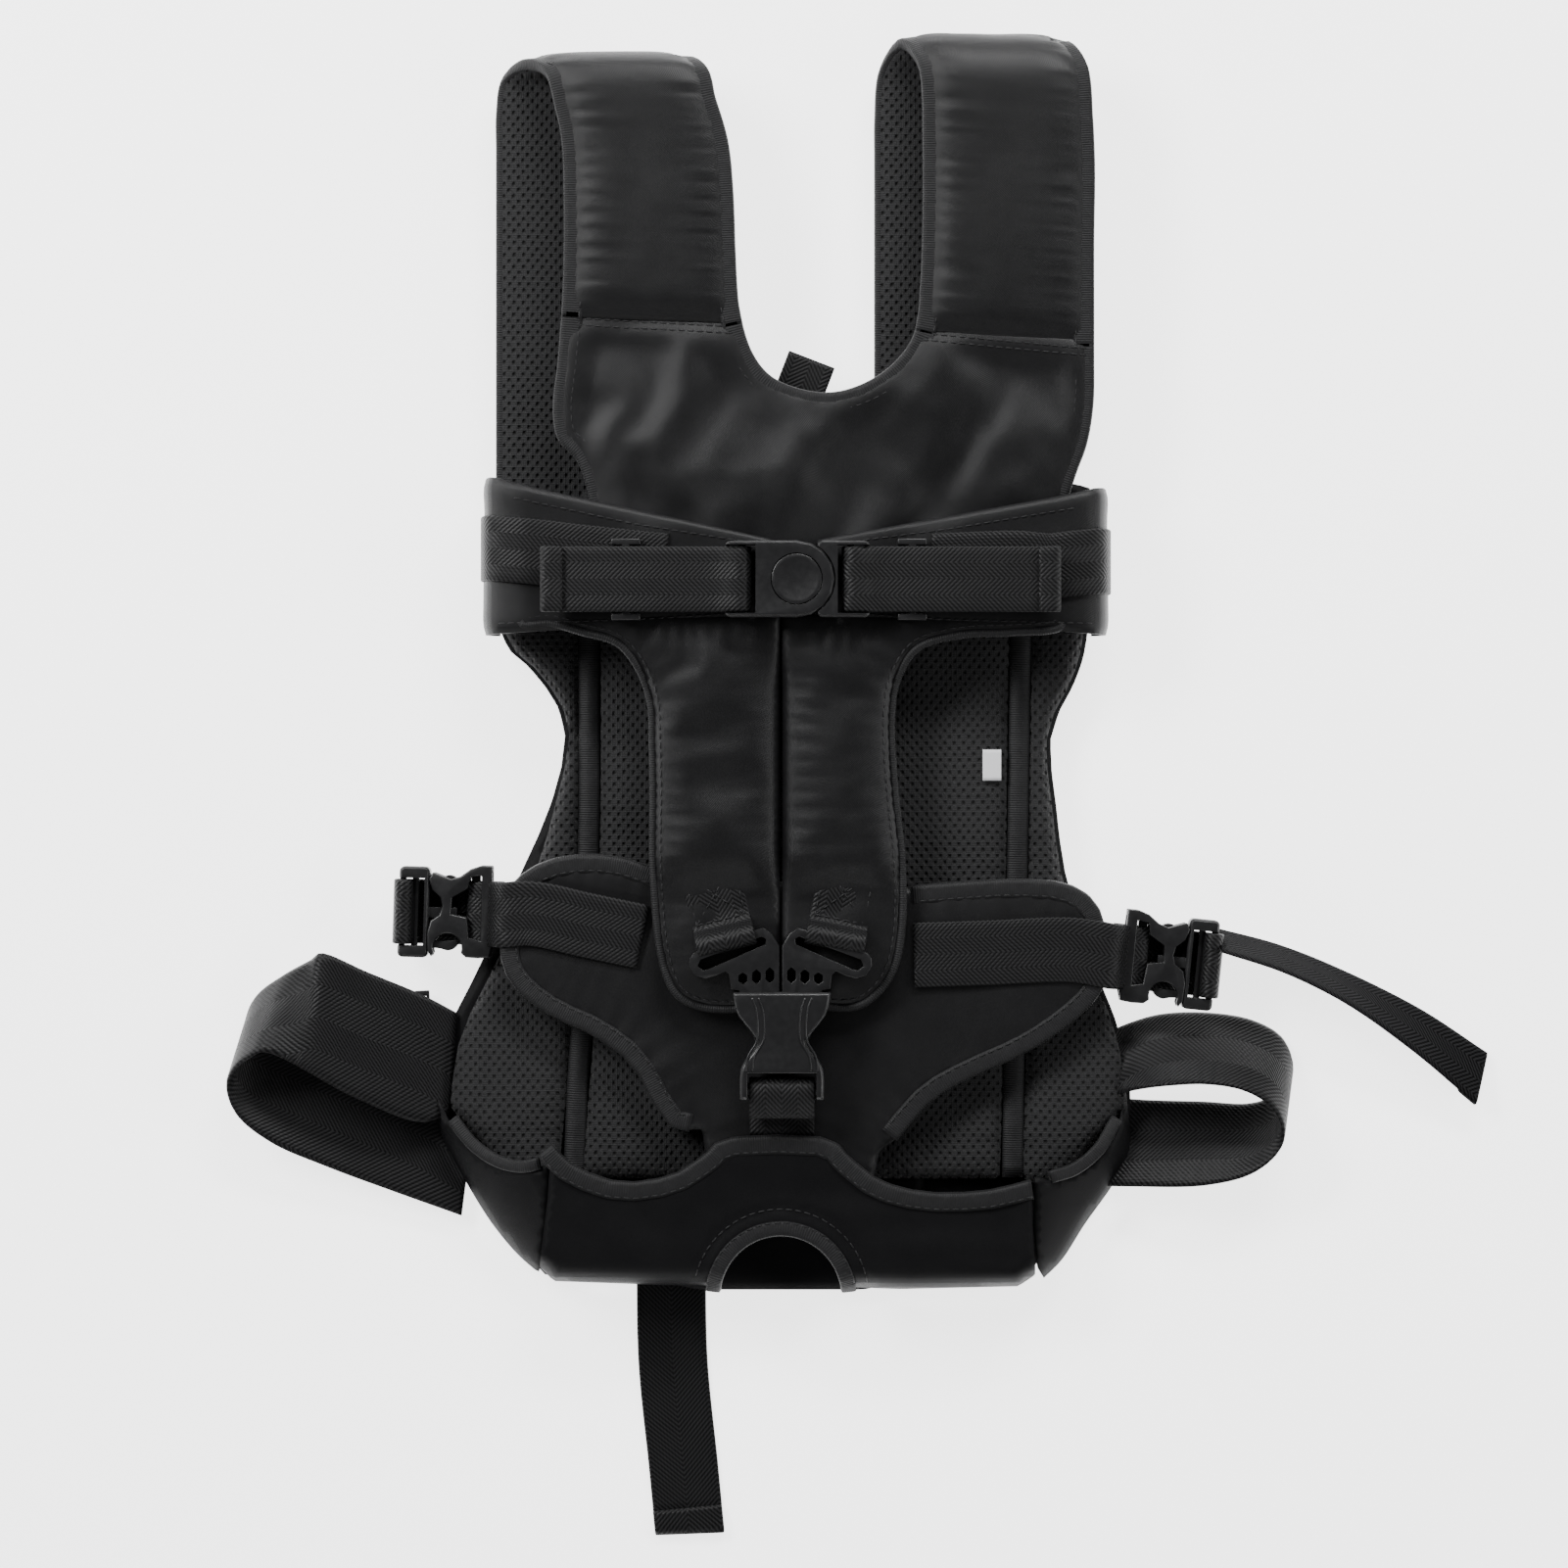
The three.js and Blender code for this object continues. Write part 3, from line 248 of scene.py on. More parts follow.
def webbing_finish(name, rib, zigzag, shine, gloss):
    f = Finish(name, BLACK, shine, Specular_IOR_Level=gloss)
    (u, v, _), vector = f.place("UV")
    ribs = f.wave(f.sum("ADD", v, f.sum("PINGPONG", u, zigzag)), rib)
    yarn = f.wave(u, rib * 0.62)
    rib_height_and_shade = f.sum("MULTIPLY_ADD", f.sum("MULTIPLY_ADD", yarn, 0.25, ribs), 0.4, 0.5)
    f.bump(rib_height_and_shade, 0.16)
    # painted shade in the grooves between the ribs and painted highlight on their crests, from the same rib height
    # as the bump
    f.tint(rib_height_and_shade, (0.0002, 0.0002, 0.0002), (0.021, 0.021, 0.022))
    f.rough(f.noise(vector, 12), shine - 0.06, shine + 0.1)
    return f.material


def tape_finish(name):
    f = Finish(name, BLACK, 0.6, Sheen_Weight=0.04, Sheen_Roughness=0.4, Specular_IOR_Level=0.3)
    (u, v, _), vector = f.place("UV")
    ribs = f.wave(v, 0.9)
    f.bump(f.sum("MULTIPLY_ADD", ribs, 0.4, 0.5), 0.12)
    f.bump(f.noise(vector, 4, 3), 0.3)
    f.tint(f.noise(vector, 7), (0.005, 0.005, 0.0055), (0.012, 0.012, 0.013))
    return f.material


satin = nylon("satin_nylon", 0.43, 0.33)
shell_cloth = nylon("shell_nylon", 0.5, 0.12)
mesh_cloth = spacer_mesh("spacer_mesh")
belt_web = webbing_finish("belt_webbing", 1.9, 6.25, 0.46, 0.2)
leg_web = webbing_finish("leg_webbing", 1.9, 12.5, 0.4, 0.14)
tail_web = webbing_finish("tail_webbing", 1.9, 6.25, 0.75, 0.03)
tape = tape_finish("binding_tape")
print("cloths:", [m.name for m in (satin, shell_cloth, mesh_cloth, belt_web, leg_web, tail_web, tape)])

# %% [markdown]
# **Thread, plastic, label and spring.** The buckles are acetal, moulded with a fine spark grain, and rubbed a little
# lighter where the noise is high. The thread is a twisted polyester, the label a blank white satin.

# %% Hard and small finishes


def plastic_finish(name):
    f = Finish(name, (0.012, 0.012, 0.013), 0.34, Specular_IOR_Level=0.55)
    _, vector = f.place()
    f.bump(f.noise(vector, 0.5, 2), 0.03)
    f.tint(f.noise(vector, 6, 4), (0.006, 0.006, 0.0065), (0.014, 0.014, 0.015))
    f.rough(f.noise(vector, 2.5, 3), 0.26, 0.46)
    return f.material


def thread_finish(name):
    f = Finish(name, (0.012, 0.012, 0.013), 0.5, Specular_IOR_Level=0.4)
    (u, v, _), _ = f.place("UV")
    f.bump(f.sum("MULTIPLY_ADD", f.wave(f.sum("ADD", u, v), 0.5), 0.5, 0.5), 0.06)
    return f.material


def label_finish(name):
    f = Finish(name, (0.78, 0.78, 0.8), 0.55)
    (x, y, _), _ = f.place()
    f.bump(f.sum("MULTIPLY_ADD", f.sum("MULTIPLY", f.wave(x, 0.5), f.wave(y, 0.5)), 0.5, 0.5), 0.03)
    return f.material


def steel_finish(name):
    f = Finish(name, (0.6, 0.6, 0.62), 0.28, Metallic=1.0)
    _, vector = f.place()
    f.bump(f.noise(vector, 0.4, 2), 0.01)
    return f.material


plastic = plastic_finish("buckle_plastic")
thread = thread_finish("thread")
label_cloth = label_finish("label_cloth")
steel = steel_finish("spring_steel")
print("the rest:", [m.name for m in (plastic, thread, label_cloth, steel)])

# %% [markdown]
# ## Putting a mesh in the scene
# All pieces are made the same way in the end: points in millimetres, faces, and a place along the cloth for each
# point. One helper turns those into an object, gives it its finish, and sends it riding on its CAD body.

# %% Mesh helper


def piece(name, points, faces, finishes, slot, body="vest", uv=None, stands_for=(), kinds=None):
    mesh = bpy.data.meshes.new(name)
    mesh.from_pydata((np.asarray(points) * MM).tolist(), [], [list(map(int, f)) for f in faces])
    finishes = finishes if isinstance(finishes, (list, tuple)) else [finishes]
    for finish in finishes:
        mesh.materials.append(finish)
    if kinds is not None:
        mesh.polygons.foreach_set("material_index", np.asarray(kinds, np.int32))
    if uv is not None:
        layer = mesh.uv_layers.new(name="cloth")
        corner = np.zeros(len(mesh.loops), np.int32)
        mesh.loops.foreach_get("vertex_index", corner)
        layer.data.foreach_set("uv", (np.asarray(uv)[corner] * MM).astype(np.float32).ravel())
    mesh.validate()
    bm = bmesh.new()
    bm.from_mesh(mesh)
    bmesh.ops.recalc_face_normals(bm, faces=bm.faces)
    bm.to_mesh(mesh)
    bm.free()
    mesh.shade_smooth()
    made = bpy.data.objects.new(name, mesh)
    bpy.context.scene.collection.objects.link(made)
    if body:
        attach(made, body)
    if stands_for:
        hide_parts(*stands_for)
    return made


def low(node):
    return np.array(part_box(node)[0]) / MM


def high(node):
    return np.array(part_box(node)[1]) / MM


def centre_of(node):
    return (low(node) + high(node)) / 2


def look_up(*names):
    return [bpy.data.objects[name] for name in names]


# %% [markdown]
# ## Reading an outline from the frame
# A panel was cut flat, so the edge of its CAD solid's top or bottom face is its pattern. Following the edges that
# belong to just one of those faces gives the outline in order. The corners stay as they were cut.

# %% Outlines


def outline_of(node, face="top"):
    mesh = frame["nodes"][node].data
    points = np.array([v.co for v in mesh.vertices]) / MM
    level = points[:, 2].max() if face == "top" else points[:, 2].min()
    key = [tuple(np.round(p[:2], 2)) for p in points]
    free = {}
    for polygon in mesh.polygons:
        if all(abs(points[i, 2] - level) < 0.05 for i in polygon.vertices):
            ring = [key[i] for i in polygon.vertices]
            for a, b in zip(ring, ring[1:] + ring[:1]):
                if a != b and free.pop((b, a), None) is None:
                    free[(a, b)] = True
    following = dict(free.keys())
    loops = []
    while following:
        start = next(iter(following))
        loop, here = [start], following.pop(start)
        while here != start and here in following:
            loop.append(here)
            here = following.pop(here)
        loops.append(np.array(loop))
    return max(loops, key=lambda l: np.ptp(l[:, 0]) + np.ptp(l[:, 1]))


def lengths(line, closed):
    ahead = np.roll(line, -1, axis=0) if closed else line[1:]
    return np.linalg.norm(ahead - (line if closed else line[:-1]), axis=1)


def course(line, closed):
    """The way the line runs at each of its points."""
    ahead = np.roll(line, -1, axis=0) if closed else np.vstack([line[1:], 2 * line[-1:] - line[-2:-1]])
    back = np.roll(line, 1, axis=0) if closed else np.vstack([2 * line[:1] - line[1:2], line[:-1]])
    return ahead - back


def even(line, step, closed=True):
    """The same line with its points an even step apart."""
    whole = np.vstack([line, line[:1]]) if closed else np.asarray(line, float)
    along = np.concatenate([[0], np.cumsum(lengths(whole, False))])
    count = max(4, round(along[-1] / step))
    at = np.linspace(0, along[-1], count + 1)
    if closed:
        at = at[:-1]
    return np.stack([np.interp(at, along, whole[:, k]) for k in range(whole.shape[1])], axis=1)


def near(points, line, closed=True):
    """For each point, how far it is from the line, and how far along the line that is."""
    a = np.asarray(line)[:, :2]
    b = np.roll(a, -1, axis=0) if closed else a[1:]
    a = a if closed else a[:-1]
    span = b - a
    size = np.maximum((span ** 2).sum(1), 1e-9)
    start = np.concatenate([[0], np.cumsum(np.sqrt(size))[:-1]])
    best, along = np.full(len(points), 1e9), np.zeros(len(points))
    for i in range(len(a)):
        t = np.clip(((points[:, :2] - a[i]) @ span[i]) / size[i], 0, 1)
        gap = np.linalg.norm(points[:, :2] - a[i] - t[:, None] * span[i], axis=1)
        closer = gap < best
        best[closer] = gap[closer]
        along[closer] = start[i] + t[closer] * math.sqrt(size[i])
    return best, along


def inside(points, loop):
    found = np.zeros(len(points), bool)
    for (x0, y0), (x1, y1) in zip(loop, np.roll(loop, -1, axis=0)):
        crosses = (y0 > points[:, 1]) != (y1 > points[:, 1])
        if abs(y1 - y0) > 1e-9:
            found ^= crosses & (points[:, 0] < (x1 - x0) * (points[:, 1] - y0) / (y1 - y0) + x0)
    return found


# %% [markdown]
# ## Cloth that isn't flat
# Cloth over foam swells between its seams and gathers beside them. `swell` is a quarter of an ellipse, which is
# how a sewn edge rolls up, and `gather` is a row of small folds that run out from a seam and die away. `cloud` is
# a smooth random field of our own, so that the same vest comes out every time.

# %% Surface shapes


def swell(distance, rise, run):
    t = np.clip(distance / run, 0, 1)
    return rise * np.sqrt(1 - (1 - t) ** 2)


def cloud(points, size, seed):
    """Smooth random heights from -1 to 1 whose lumps are about `size` millimetres, stretched if size is a pair."""
    scale = np.array(size if hasattr(size, "__len__") else (size, size), float)
    p = points[:, :2] / scale + 1000
    cell = np.floor(p).astype(int)
    f = p - cell
    ease = f * f * f * (f * (f * 6 - 15) + 10)
    table = np.random.default_rng(seed).uniform(-1, 1, (256, 256))
    rows = []
    for j in (0, 1):
        start, end = (table[(cell[:, 0] + i) % 256, (cell[:, 1] + j) % 256] for i in (0, 1))
        rows.append(start * (1 - ease[:, 0]) + end * ease[:, 0])
    return rows[0] * (1 - ease[:, 1]) + rows[1] * ease[:, 1]


def gather(distance, along, depth, pitch, reach, seed=1):
    """Small folds across a seam, of uneven pitch and length, that fade out over `reach`."""
    stray = cloud(np.stack([along, distance * 0.3], axis=1), (pitch * 2.2, 9), seed)
    folds = np.sin(2 * math.pi * along / pitch + 2.4 * stray)
    return depth * folds * np.exp(-distance / (reach * (1 + 0.5 * stray)))


def crumple(cloth, sewn, slack, pressure, most, frames=16):
    """Lets the free part of a cloth take folds of its own: it is cut too large by the share `slack` for the
    edge that holds it, and a little air lifts it. No point moves more than `most` millimetres."""
    group = cloth.vertex_groups.new(name="sewn")
    for i, held in enumerate(sewn):
        group.add([i], float(held), "REPLACE")
    cloth_step = cloth.modifiers.new("folds", "CLOTH")
    settings = cloth_step.settings
    settings.quality = 6
    settings.mass = 0.12
    settings.tension_stiffness = settings.compression_stiffness = 12
    settings.shear_stiffness = 6
    settings.bending_stiffness = 6.0
    settings.shrink_min = -slack
    settings.use_pressure = True
    settings.uniform_pressure_force = pressure
    settings.vertex_group_mass = "sewn"
    settings.effector_weights.gravity = 0
    cloth_step.collision_settings.use_collision = False
    cloth_step.point_cache.frame_end = frames
    for frame_number in range(1, frames + 1):
        bpy.context.scene.frame_set(frame_number)
    settled = cloth.evaluated_get(bpy.context.evaluated_depsgraph_get()).data
    count = len(cloth.data.vertices)
    before, after = np.zeros(count * 3, np.float32), np.zeros(count * 3, np.float32)
    cloth.data.vertices.foreach_get("co", before)
    settled.vertices.foreach_get("co", after)
    shift = (after - before).reshape(-1, 3) / MM
    ends = np.array([e.vertices[:] for e in cloth.data.edges])
    share = np.bincount(ends.ravel(), minlength=count)[:, None]
    for _ in range(4):
        pulled = np.zeros_like(shift)
        np.add.at(pulled, ends[:, 0], shift[ends[:, 1]])
        np.add.at(pulled, ends[:, 1], shift[ends[:, 0]])
        shift = 0.4 * shift + 0.6 * pulled / share
    size = np.linalg.norm(shift, axis=1)
    shift *= (np.minimum(size, most) / np.maximum(size, 1e-6))[:, None]
    cloth.modifiers.remove(cloth_step)
    cloth.data.vertices.foreach_set("co", before + (shift * MM).astype(np.float32).ravel())
    cloth.data.update()
    bpy.context.scene.frame_set(1)
    print(cloth.name, "folds up to", round(float(size.max()), 1), "mm")


def closed_sheet(flat, triangles, upper, lower):
    """One sheet at the upper heights and one at the lower, joined round every free edge. It gives the points, the
    faces, and for each face whether it is on the under side."""
    count = len(flat)
    points = np.vstack([np.column_stack([flat, upper]), np.column_stack([flat, lower])])
    faces = [list(t) for t in triangles] + [[i + count for i in reversed(t)] for t in triangles]
    kinds = [0] * len(triangles) + [1] * len(triangles)
    sides = {(t[i], t[(i + 1) % 3]): True for t in triangles for i in range(3)}
    for a, b in sides:
        if (b, a) not in sides:
            faces.append([b, a, a + count, b + count])
            kinds.append(0)
    return points, faces, kinds


def panel(name, loop, top, bottom, finish, slot, step=2.6, slack=0.0, pressure=1.0, most=3.0, hold=5.0, **options):
    """A cut panel: a top and a bottom sheet over one outline, joined round the edge.
    top and bottom take the points and their distance from the edge and along it, and give heights."""
    rim = even(loop, step)
    low_corner, high_corner = rim.min(0), rim.max(0)
    rows = np.arange(low_corner[1], high_corner[1], step * 0.866)
    grid = np.array([
        (x + (step / 2 if k % 2 else 0), y)
        for k, y in enumerate(rows) for x in np.arange(low_corner[0], high_corner[0], step)])
    grid = grid[inside(grid, rim)]
    grid = grid[near(grid, rim)[0] > step * 0.6]
    flat = np.vstack([rim, grid])
    edges = [(i, (i + 1) % len(rim)) for i in range(len(rim))]
    made, _, triangles, *_ = delaunay_2d_cdt([Vector(p) for p in flat], edges, [], 1, 1e-6)
    flat = np.array(made)
    distance, along = near(flat, rim)
    points, faces, kinds = closed_sheet(flat, triangles, top(flat, distance, along), bottom(flat, distance, along))
    if not isinstance(finish, (list, tuple)):
        kinds = None
    made = piece(name, points, faces, finish, slot, uv=np.vstack([flat, flat]), kinds=kinds, **options)
    if slack:
        crumple(made, np.concatenate([distance < hold, np.ones(len(flat), bool)]), slack, pressure, most)
    return made


# %% [markdown]
# ## Sweeping a section along a line
# Bindings, piping and straps are all one small section carried along a line. The section is given across the
# strip and up from it, and the frame that carries it is the line's tangent, the way across, and their normal.

# %% Sweeps


def sweep(name, line, across, section, finish, slot, closed=False, facing=(0, 0, 1), **options):
    """section is a closed list of (across, up) in millimetres, or a function of how far along that gives one.
    Up is the side that looks along `facing` where the line starts."""
    line = np.asarray(line, float)
    across = np.broadcast_to(np.asarray(across, float), line.shape)
    tangent = course(line, closed)
    tangent /= np.linalg.norm(tangent, axis=1)[:, None]
    side = across - (across * tangent).sum(1)[:, None] * tangent
    side /= np.linalg.norm(side, axis=1)[:, None]
    up = np.cross(tangent, side)
    if up[0] @ np.asarray(facing, float) < 0:
        up = -up
    along = np.concatenate([[0], np.cumsum(lengths(line, False))])
    rings = [np.asarray(section(a) if callable(section) else section, float) for a in along]
    m = len(rings[0])
    points = np.vstack([
        line[i] + rings[i][:, :1] * side[i] + rings[i][:, 1:] * up[i] for i in range(len(line))])
    uv = np.vstack([np.column_stack([ring[:, 0], np.full(m, a)]) for ring, a in zip(rings, along)])
    faces = []
    for i in range(len(line) if closed else len(line) - 1):
        j = (i + 1) % len(line)
        for k in range(m):
            n = (k + 1) % m
            faces.append([i * m + k, i * m + n, j * m + n, j * m + k])
    if not closed:
        faces.append(list(range(m)))
        faces.append(list(reversed(range((len(line) - 1) * m, len(line) * m))))
    return piece(name, points, faces, finish, slot, uv=uv, **options)


def curve(points, step=2.0, closed=False):
    """A smooth line through the points, in millimetres."""
    p = np.asarray(points, float)
    n = len(p)
    made = []
    for i in range(n if closed else n - 1):
        a = p[i - 1] if closed or i else 2 * p[0] - p[1]
        b, c = p[i], p[(i + 1) % n]
        d = p[(i + 2) % n] if closed or i + 2 < n else 2 * p[-1] - p[-2]
        knots = np.cumsum([0, *(max(np.linalg.norm(v - u), 1e-3) ** 0.5 for u, v in ((a, b), (b, c), (c, d)))])
        for t in np.linspace(knots[1], knots[2], 13)[:-1]:
            def mix(u, v, s, e):
                return ((e - t) * u + (t - s) * v) / (e - s)

            ab, bc, cd = mix(a, b, *knots[0:2]), mix(b, c, *knots[1:3]), mix(c, d, *knots[2:4])
            made.append(mix(mix(ab, bc, knots[0], knots[2]), mix(bc, cd, knots[1], knots[3]), *knots[1:3]))
    if not closed:
        made.append(p[-1])
    return even(np.array(made), step, closed)


def plan_curve(points, step=1.0):
    """The same for a line that is given in plan."""
    return curve([(x, y, 0) for x, y in points], step)[:, :2]


def cord_section(radius, sides):
    return [(radius * math.cos(t), radius * math.sin(t)) for t in np.linspace(0, 2 * math.pi, sides, False)]


# %% [markdown]
# ## A band of cloth between two edges
# Shoulder loops, belt panels and leg loops turn over in space, so they have no flat outline. Each is a surface
# between two edge lines, thick on both sides of it. A band remembers its edges and the way it faces, so that its
# binding can be sewn on afterwards.

# %% Bands
bands = {}


def band(name, edge_a, edge_b, over, under, finish, slot, step=2.5, cells=14, facing=(0, 0, 1), smooth=True,
         slack=0.0, pressure=1.0, most=3.0, hold=5.0, **options):
    """over and under take the distance from the nearer edge, the distance along, and the share of the way
    across, and give how far the cloth stands off its middle surface on each side."""
    lines = [curve(e, 1.0) if smooth else even(np.asarray(e, float), 1.0, False) for e in (edge_a, edge_b)]
    count = round(max(lengths(line, False).sum() for line in lines) / step) + 1
    a, b = (line[np.linspace(0, len(line) - 1, count).round().astype(int)] for line in lines)
    v = np.linspace(0, 1, cells + 1)
    middle = a[:, None] * (1 - v)[None, :, None] + b[:, None] * v[None, :, None]
    normal = np.cross(np.gradient(middle, axis=0), np.gradient(middle, axis=1))
    normal /= np.linalg.norm(normal, axis=2)[:, :, None]
    if normal[0].mean(0) @ np.asarray(facing, float) < 0:
        normal = -normal
    width = np.linalg.norm(b - a, axis=1)[:, None]
    along = np.concatenate([[0], np.cumsum(lengths((a + b) / 2, False))])[:, None] + 0 * v
    edge_gap = np.minimum(v, 1 - v)[None, :] * width
    share = v[None, :] + 0 * along
    rows, columns = share.shape
    top = middle + normal * over(edge_gap, along, share)[:, :, None]
    base = middle - normal * under(edge_gap, along, share)[:, :, None]
    points = np.vstack([top.reshape(-1, 3), base.reshape(-1, 3)])
    uv = np.column_stack([(share * width).ravel(), along.ravel()])
    faces, kinds = [], []

    def at(i, j, side):
        return side * rows * columns + i * columns + j

    for i in range(rows - 1):
        for j in range(columns - 1):
            for side in (0, 1):
                faces.append([at(i, j, side), at(i, j + 1, side), at(i + 1, j + 1, side), at(i + 1, j, side)])
                kinds.append(side)
        for j in (0, columns - 1):
            faces.append([at(i, j, 0), at(i + 1, j, 0), at(i + 1, j, 1), at(i, j, 1)])
            kinds.append(0)
    for i in (0, rows - 1):
        for j in range(columns - 1):
            faces.append([at(i, j, 0), at(i, j + 1, 0), at(i, j + 1, 1), at(i, j, 1)])
            kinds.append(0)
    if not isinstance(finish, (list, tuple)):
        kinds = None
    bands[name] = {"a": a, "b": b, "normal": normal, "width": width[:, 0]}
    made = piece(name, points, faces, finish, slot, uv=np.vstack([uv, uv]), kinds=kinds, **options)
    if slack:
        held = (edge_gap < hold).ravel() | (along < 4).ravel()
        crumple(made, np.concatenate([held, np.ones(rows * columns, bool)]), slack, pressure, most)
    return made


# %% [markdown]
# ## Binding
# The raw edge of each panel is wrapped in a ribbed tape, folded in half over it and sewn through. The section
# below is that folded tape: a flat lip on top, a round nose past the edge, and a lip underneath.

# %% Binding and piping
BINDING_W = 6.5


def folded_tape(half, width=BINDING_W, skin=0.7):
    """The section of a tape folded over an edge that is 2 * half thick."""
    nose = [(-skin * 1.3 * math.cos(t), (half + skin) * math.sin(t)) for t in np.linspace(1.35, -1.35, 7)]
    top = [(width, half - 0.2), (width, half + skin * 0.6), (width * 0.8, half + skin), (1.2, half + skin)]
    return top + nose + [(x, -z) for x, z in reversed(top)]


def bind(name, line, inward, half, facing=(0, 0, 1), width=BINDING_W, closed=False, body="vest", **options):
    return sweep(name, line, inward, folded_tape(half, width), tape, "binding_tape", closed=closed,
                 facing=facing, body=body, **options)


def bind_band(name, source, which, half, body="vest", first=0, last=None, width=BINDING_W):
    source = bands[source]
    a, b = source["a"][first:last], source["b"][first:last]
    line, inward = (a, b - a) if which == "a" else (b, a - b)
    return bind(name, line, inward, half, facing=source["normal"][first, 0], width=width, body=body)


def counterclockwise(loop):
    ahead = np.roll(loop, -1, axis=0)
    return loop if (loop[:, 0] * ahead[:, 1] - ahead[:, 0] * loop[:, 1]).sum() > 0 else loop[::-1]


def between(loop, start, end):
    """The part of a closed outline from the point nearest to start, counterclockwise, to the one nearest to end."""
    loop = counterclockwise(loop)
    i = np.linalg.norm(loop - np.array(start), axis=1).argmin()
    loop = np.roll(loop, -i, axis=0)
    return loop[: np.linalg.norm(loop - np.array(end), axis=1).argmin() + 1]


def inward_of(line, closed=False):
    """The way into the cloth from each point of a counterclockwise outline."""
    tangent = course(line, closed)
    return np.column_stack([-tangent[:, 1], tangent[:, 0], np.zeros(len(line))])


def bind_outline(name, line, z, half, closed=False, **options):
    line = even(line, 2.0, closed)
    height = z(line) if callable(z) else np.full(len(line), z)
    return bind(name, np.column_stack([line, height]), inward_of(line, closed), half, closed=closed, **options)


# %% [markdown]
# ## Webbing and stitches
# Webbing is a flat weave with round edges. Its free ends are folded twice and sewn, so a hem is a short second
# layer on the end. A stitch is a small thread capsule, and a seam is a row of them, laid on whatever is below it:
# each one drops on to the cloth by a ray, so that seams follow every fold.

# %% Webbing
WEB_W = 25.0
WEB_T = 1.4


def flat_section(width, thickness, cells=10):
    """A flat strip with round edges, in counterclockwise order."""
    r = thickness / 2
    across = np.linspace(-width / 2 + r, width / 2 - r, cells)
    right = [(width / 2 - r + r * math.cos(t), r * math.sin(t)) for t in (-0.8, 0, 0.8)]
    left = [(-x, z) for x, z in reversed(right)]
    return [(x, -r) for x in across] + right + [(x, r) for x in across[::-1]] + left


def strap(name, route, across, finish=belt_web, width=WEB_W, thickness=WEB_T, smooth=True, slot="webbing",
          **options):
    line = curve(route, 1.6) if smooth else even(np.asarray(route, float), 1.6, False)
    return sweep(name, line, across, flat_section(width, thickness), finish, slot, **options)


# %% Stitches
STITCH = 2.7
STITCH_GAP = 0.9
THREAD_R = 0.3


def stitches(name, lines, on, body="vest", stitch=STITCH, gap=STITCH_GAP, radius=THREAD_R, above=90.0):
    """Rows of stitches on the cloths in `on`, under lines that are given in plan."""
    trees = []
    for cloth in on:
        mesh = cloth.data
        trees.append(BVHTree.FromPolygons([v.co for v in mesh.vertices], [p.vertices for p in mesh.polygons]))
    points, faces = [], []
    for line in lines:
        line = even(np.asarray(line, float)[:, :2], (stitch + gap) / 2, False)
        for start, end in zip(line[::2], line[1::2]):
            ends = []
            for x, y in (start, end + (end - start) * (stitch / (stitch + gap) * 2 - 1)):
                hits = [t.ray_cast(Vector((x * MM, y * MM, above * MM)), Vector((0, 0, -1)))[0] for t in trees]
                hits = [h.z for h in hits if h]
                ends.append(np.array([x, y, max(hits) / MM + radius * 0.35]) if hits else None)
            if ends[0] is None or ends[1] is None or np.linalg.norm(ends[1] - ends[0]) > 2 * stitch:
                continue
            ahead = ends[1] - ends[0]
            ahead /= np.linalg.norm(ahead)
            side = np.cross(ahead, (0, 0, 1.0))
            side /= np.linalg.norm(side)
            up = np.cross(side, ahead)
            first = len(points)
            for t, fat, sink in ((0, 0.45, -0.5), (0.2, 1, 0), (0.8, 1, 0), (1, 0.45, -0.5)):
                middle = ends[0] + (ends[1] - ends[0]) * t + up * sink * radius
                for k in range(6):
                    turn = k * math.pi / 3
                    points.append(middle + radius * fat * (math.cos(turn) * side + math.sin(turn) * up))
            for ring in range(3):
                for k in range(6):
                    a, b = first + ring * 6 + k, first + ring * 6 + (k + 1) % 6
                    faces.append([a, b, b + 6, a + 6])
            faces.append(list(range(first + 5, first - 1, -1)))
            faces.append(list(range(first + 18, first + 24)))
    return piece(name, points, faces, thread, "thread", body=body, uv=np.array(points)[:, :2])


def inset(line, by, closed=False):
    """The same counterclockwise outline, moved into the cloth."""
    into = inward_of(line, closed)[:, :2]
    into /= np.maximum(np.linalg.norm(into, axis=1), 1e-6)[:, None]
    return line + into * by


# %% [markdown]
# ## Moulded parts
# The buckles' true forms are in the frame, but with knife edges. A mould has a small round on every edge, and
# that round is what catches the light. So each is copied, its flat faces are merged, and its edges are bevelled.

# %% Moulded parts
body_of_node = {}
for body, nodes in frame["record"]["behaviour"]["bodies"].items():
    for node in nodes:
        body_of_node[node] = body


WELD = 0.02


def merge_flat(mesh, weld=0.0):
    """Joins the faces that lie in one plane, so that only true edges are left to round."""
    bm = bmesh.new()
    bm.from_mesh(mesh)
    if weld:
        bmesh.ops.remove_doubles(bm, verts=bm.verts, dist=weld * MM)
    bmesh.ops.dissolve_limit(bm, angle_limit=math.radians(2), verts=bm.verts, edges=bm.edges)
    bm.to_mesh(mesh)
    bm.free()


def round_edges(made, width, sharper_than):
    """A small round on each edge where the faces turn by more than this many degrees."""
    rounding = made.modifiers.new("rounding", "BEVEL")
    rounding.width = width * MM
    rounding.segments = 3
    rounding.limit_method = "ANGLE"
    rounding.angle_limit = math.radians(sharper_than)


def moulded(node, bevel=0.45):
    copy = frame["nodes"][node].data.copy()
    merge_flat(copy, WELD)
    copy.name = f"{node}_moulding"
    copy.materials.clear()
    copy.materials.append(plastic)
    made = bpy.data.objects.new(f"{node}_moulding", copy)
    bpy.context.scene.collection.objects.link(made)
    round_edges(made, bevel, 35)
    copy.shade_smooth()
    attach(made, body_of_node[node])
    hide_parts(node)
    return made


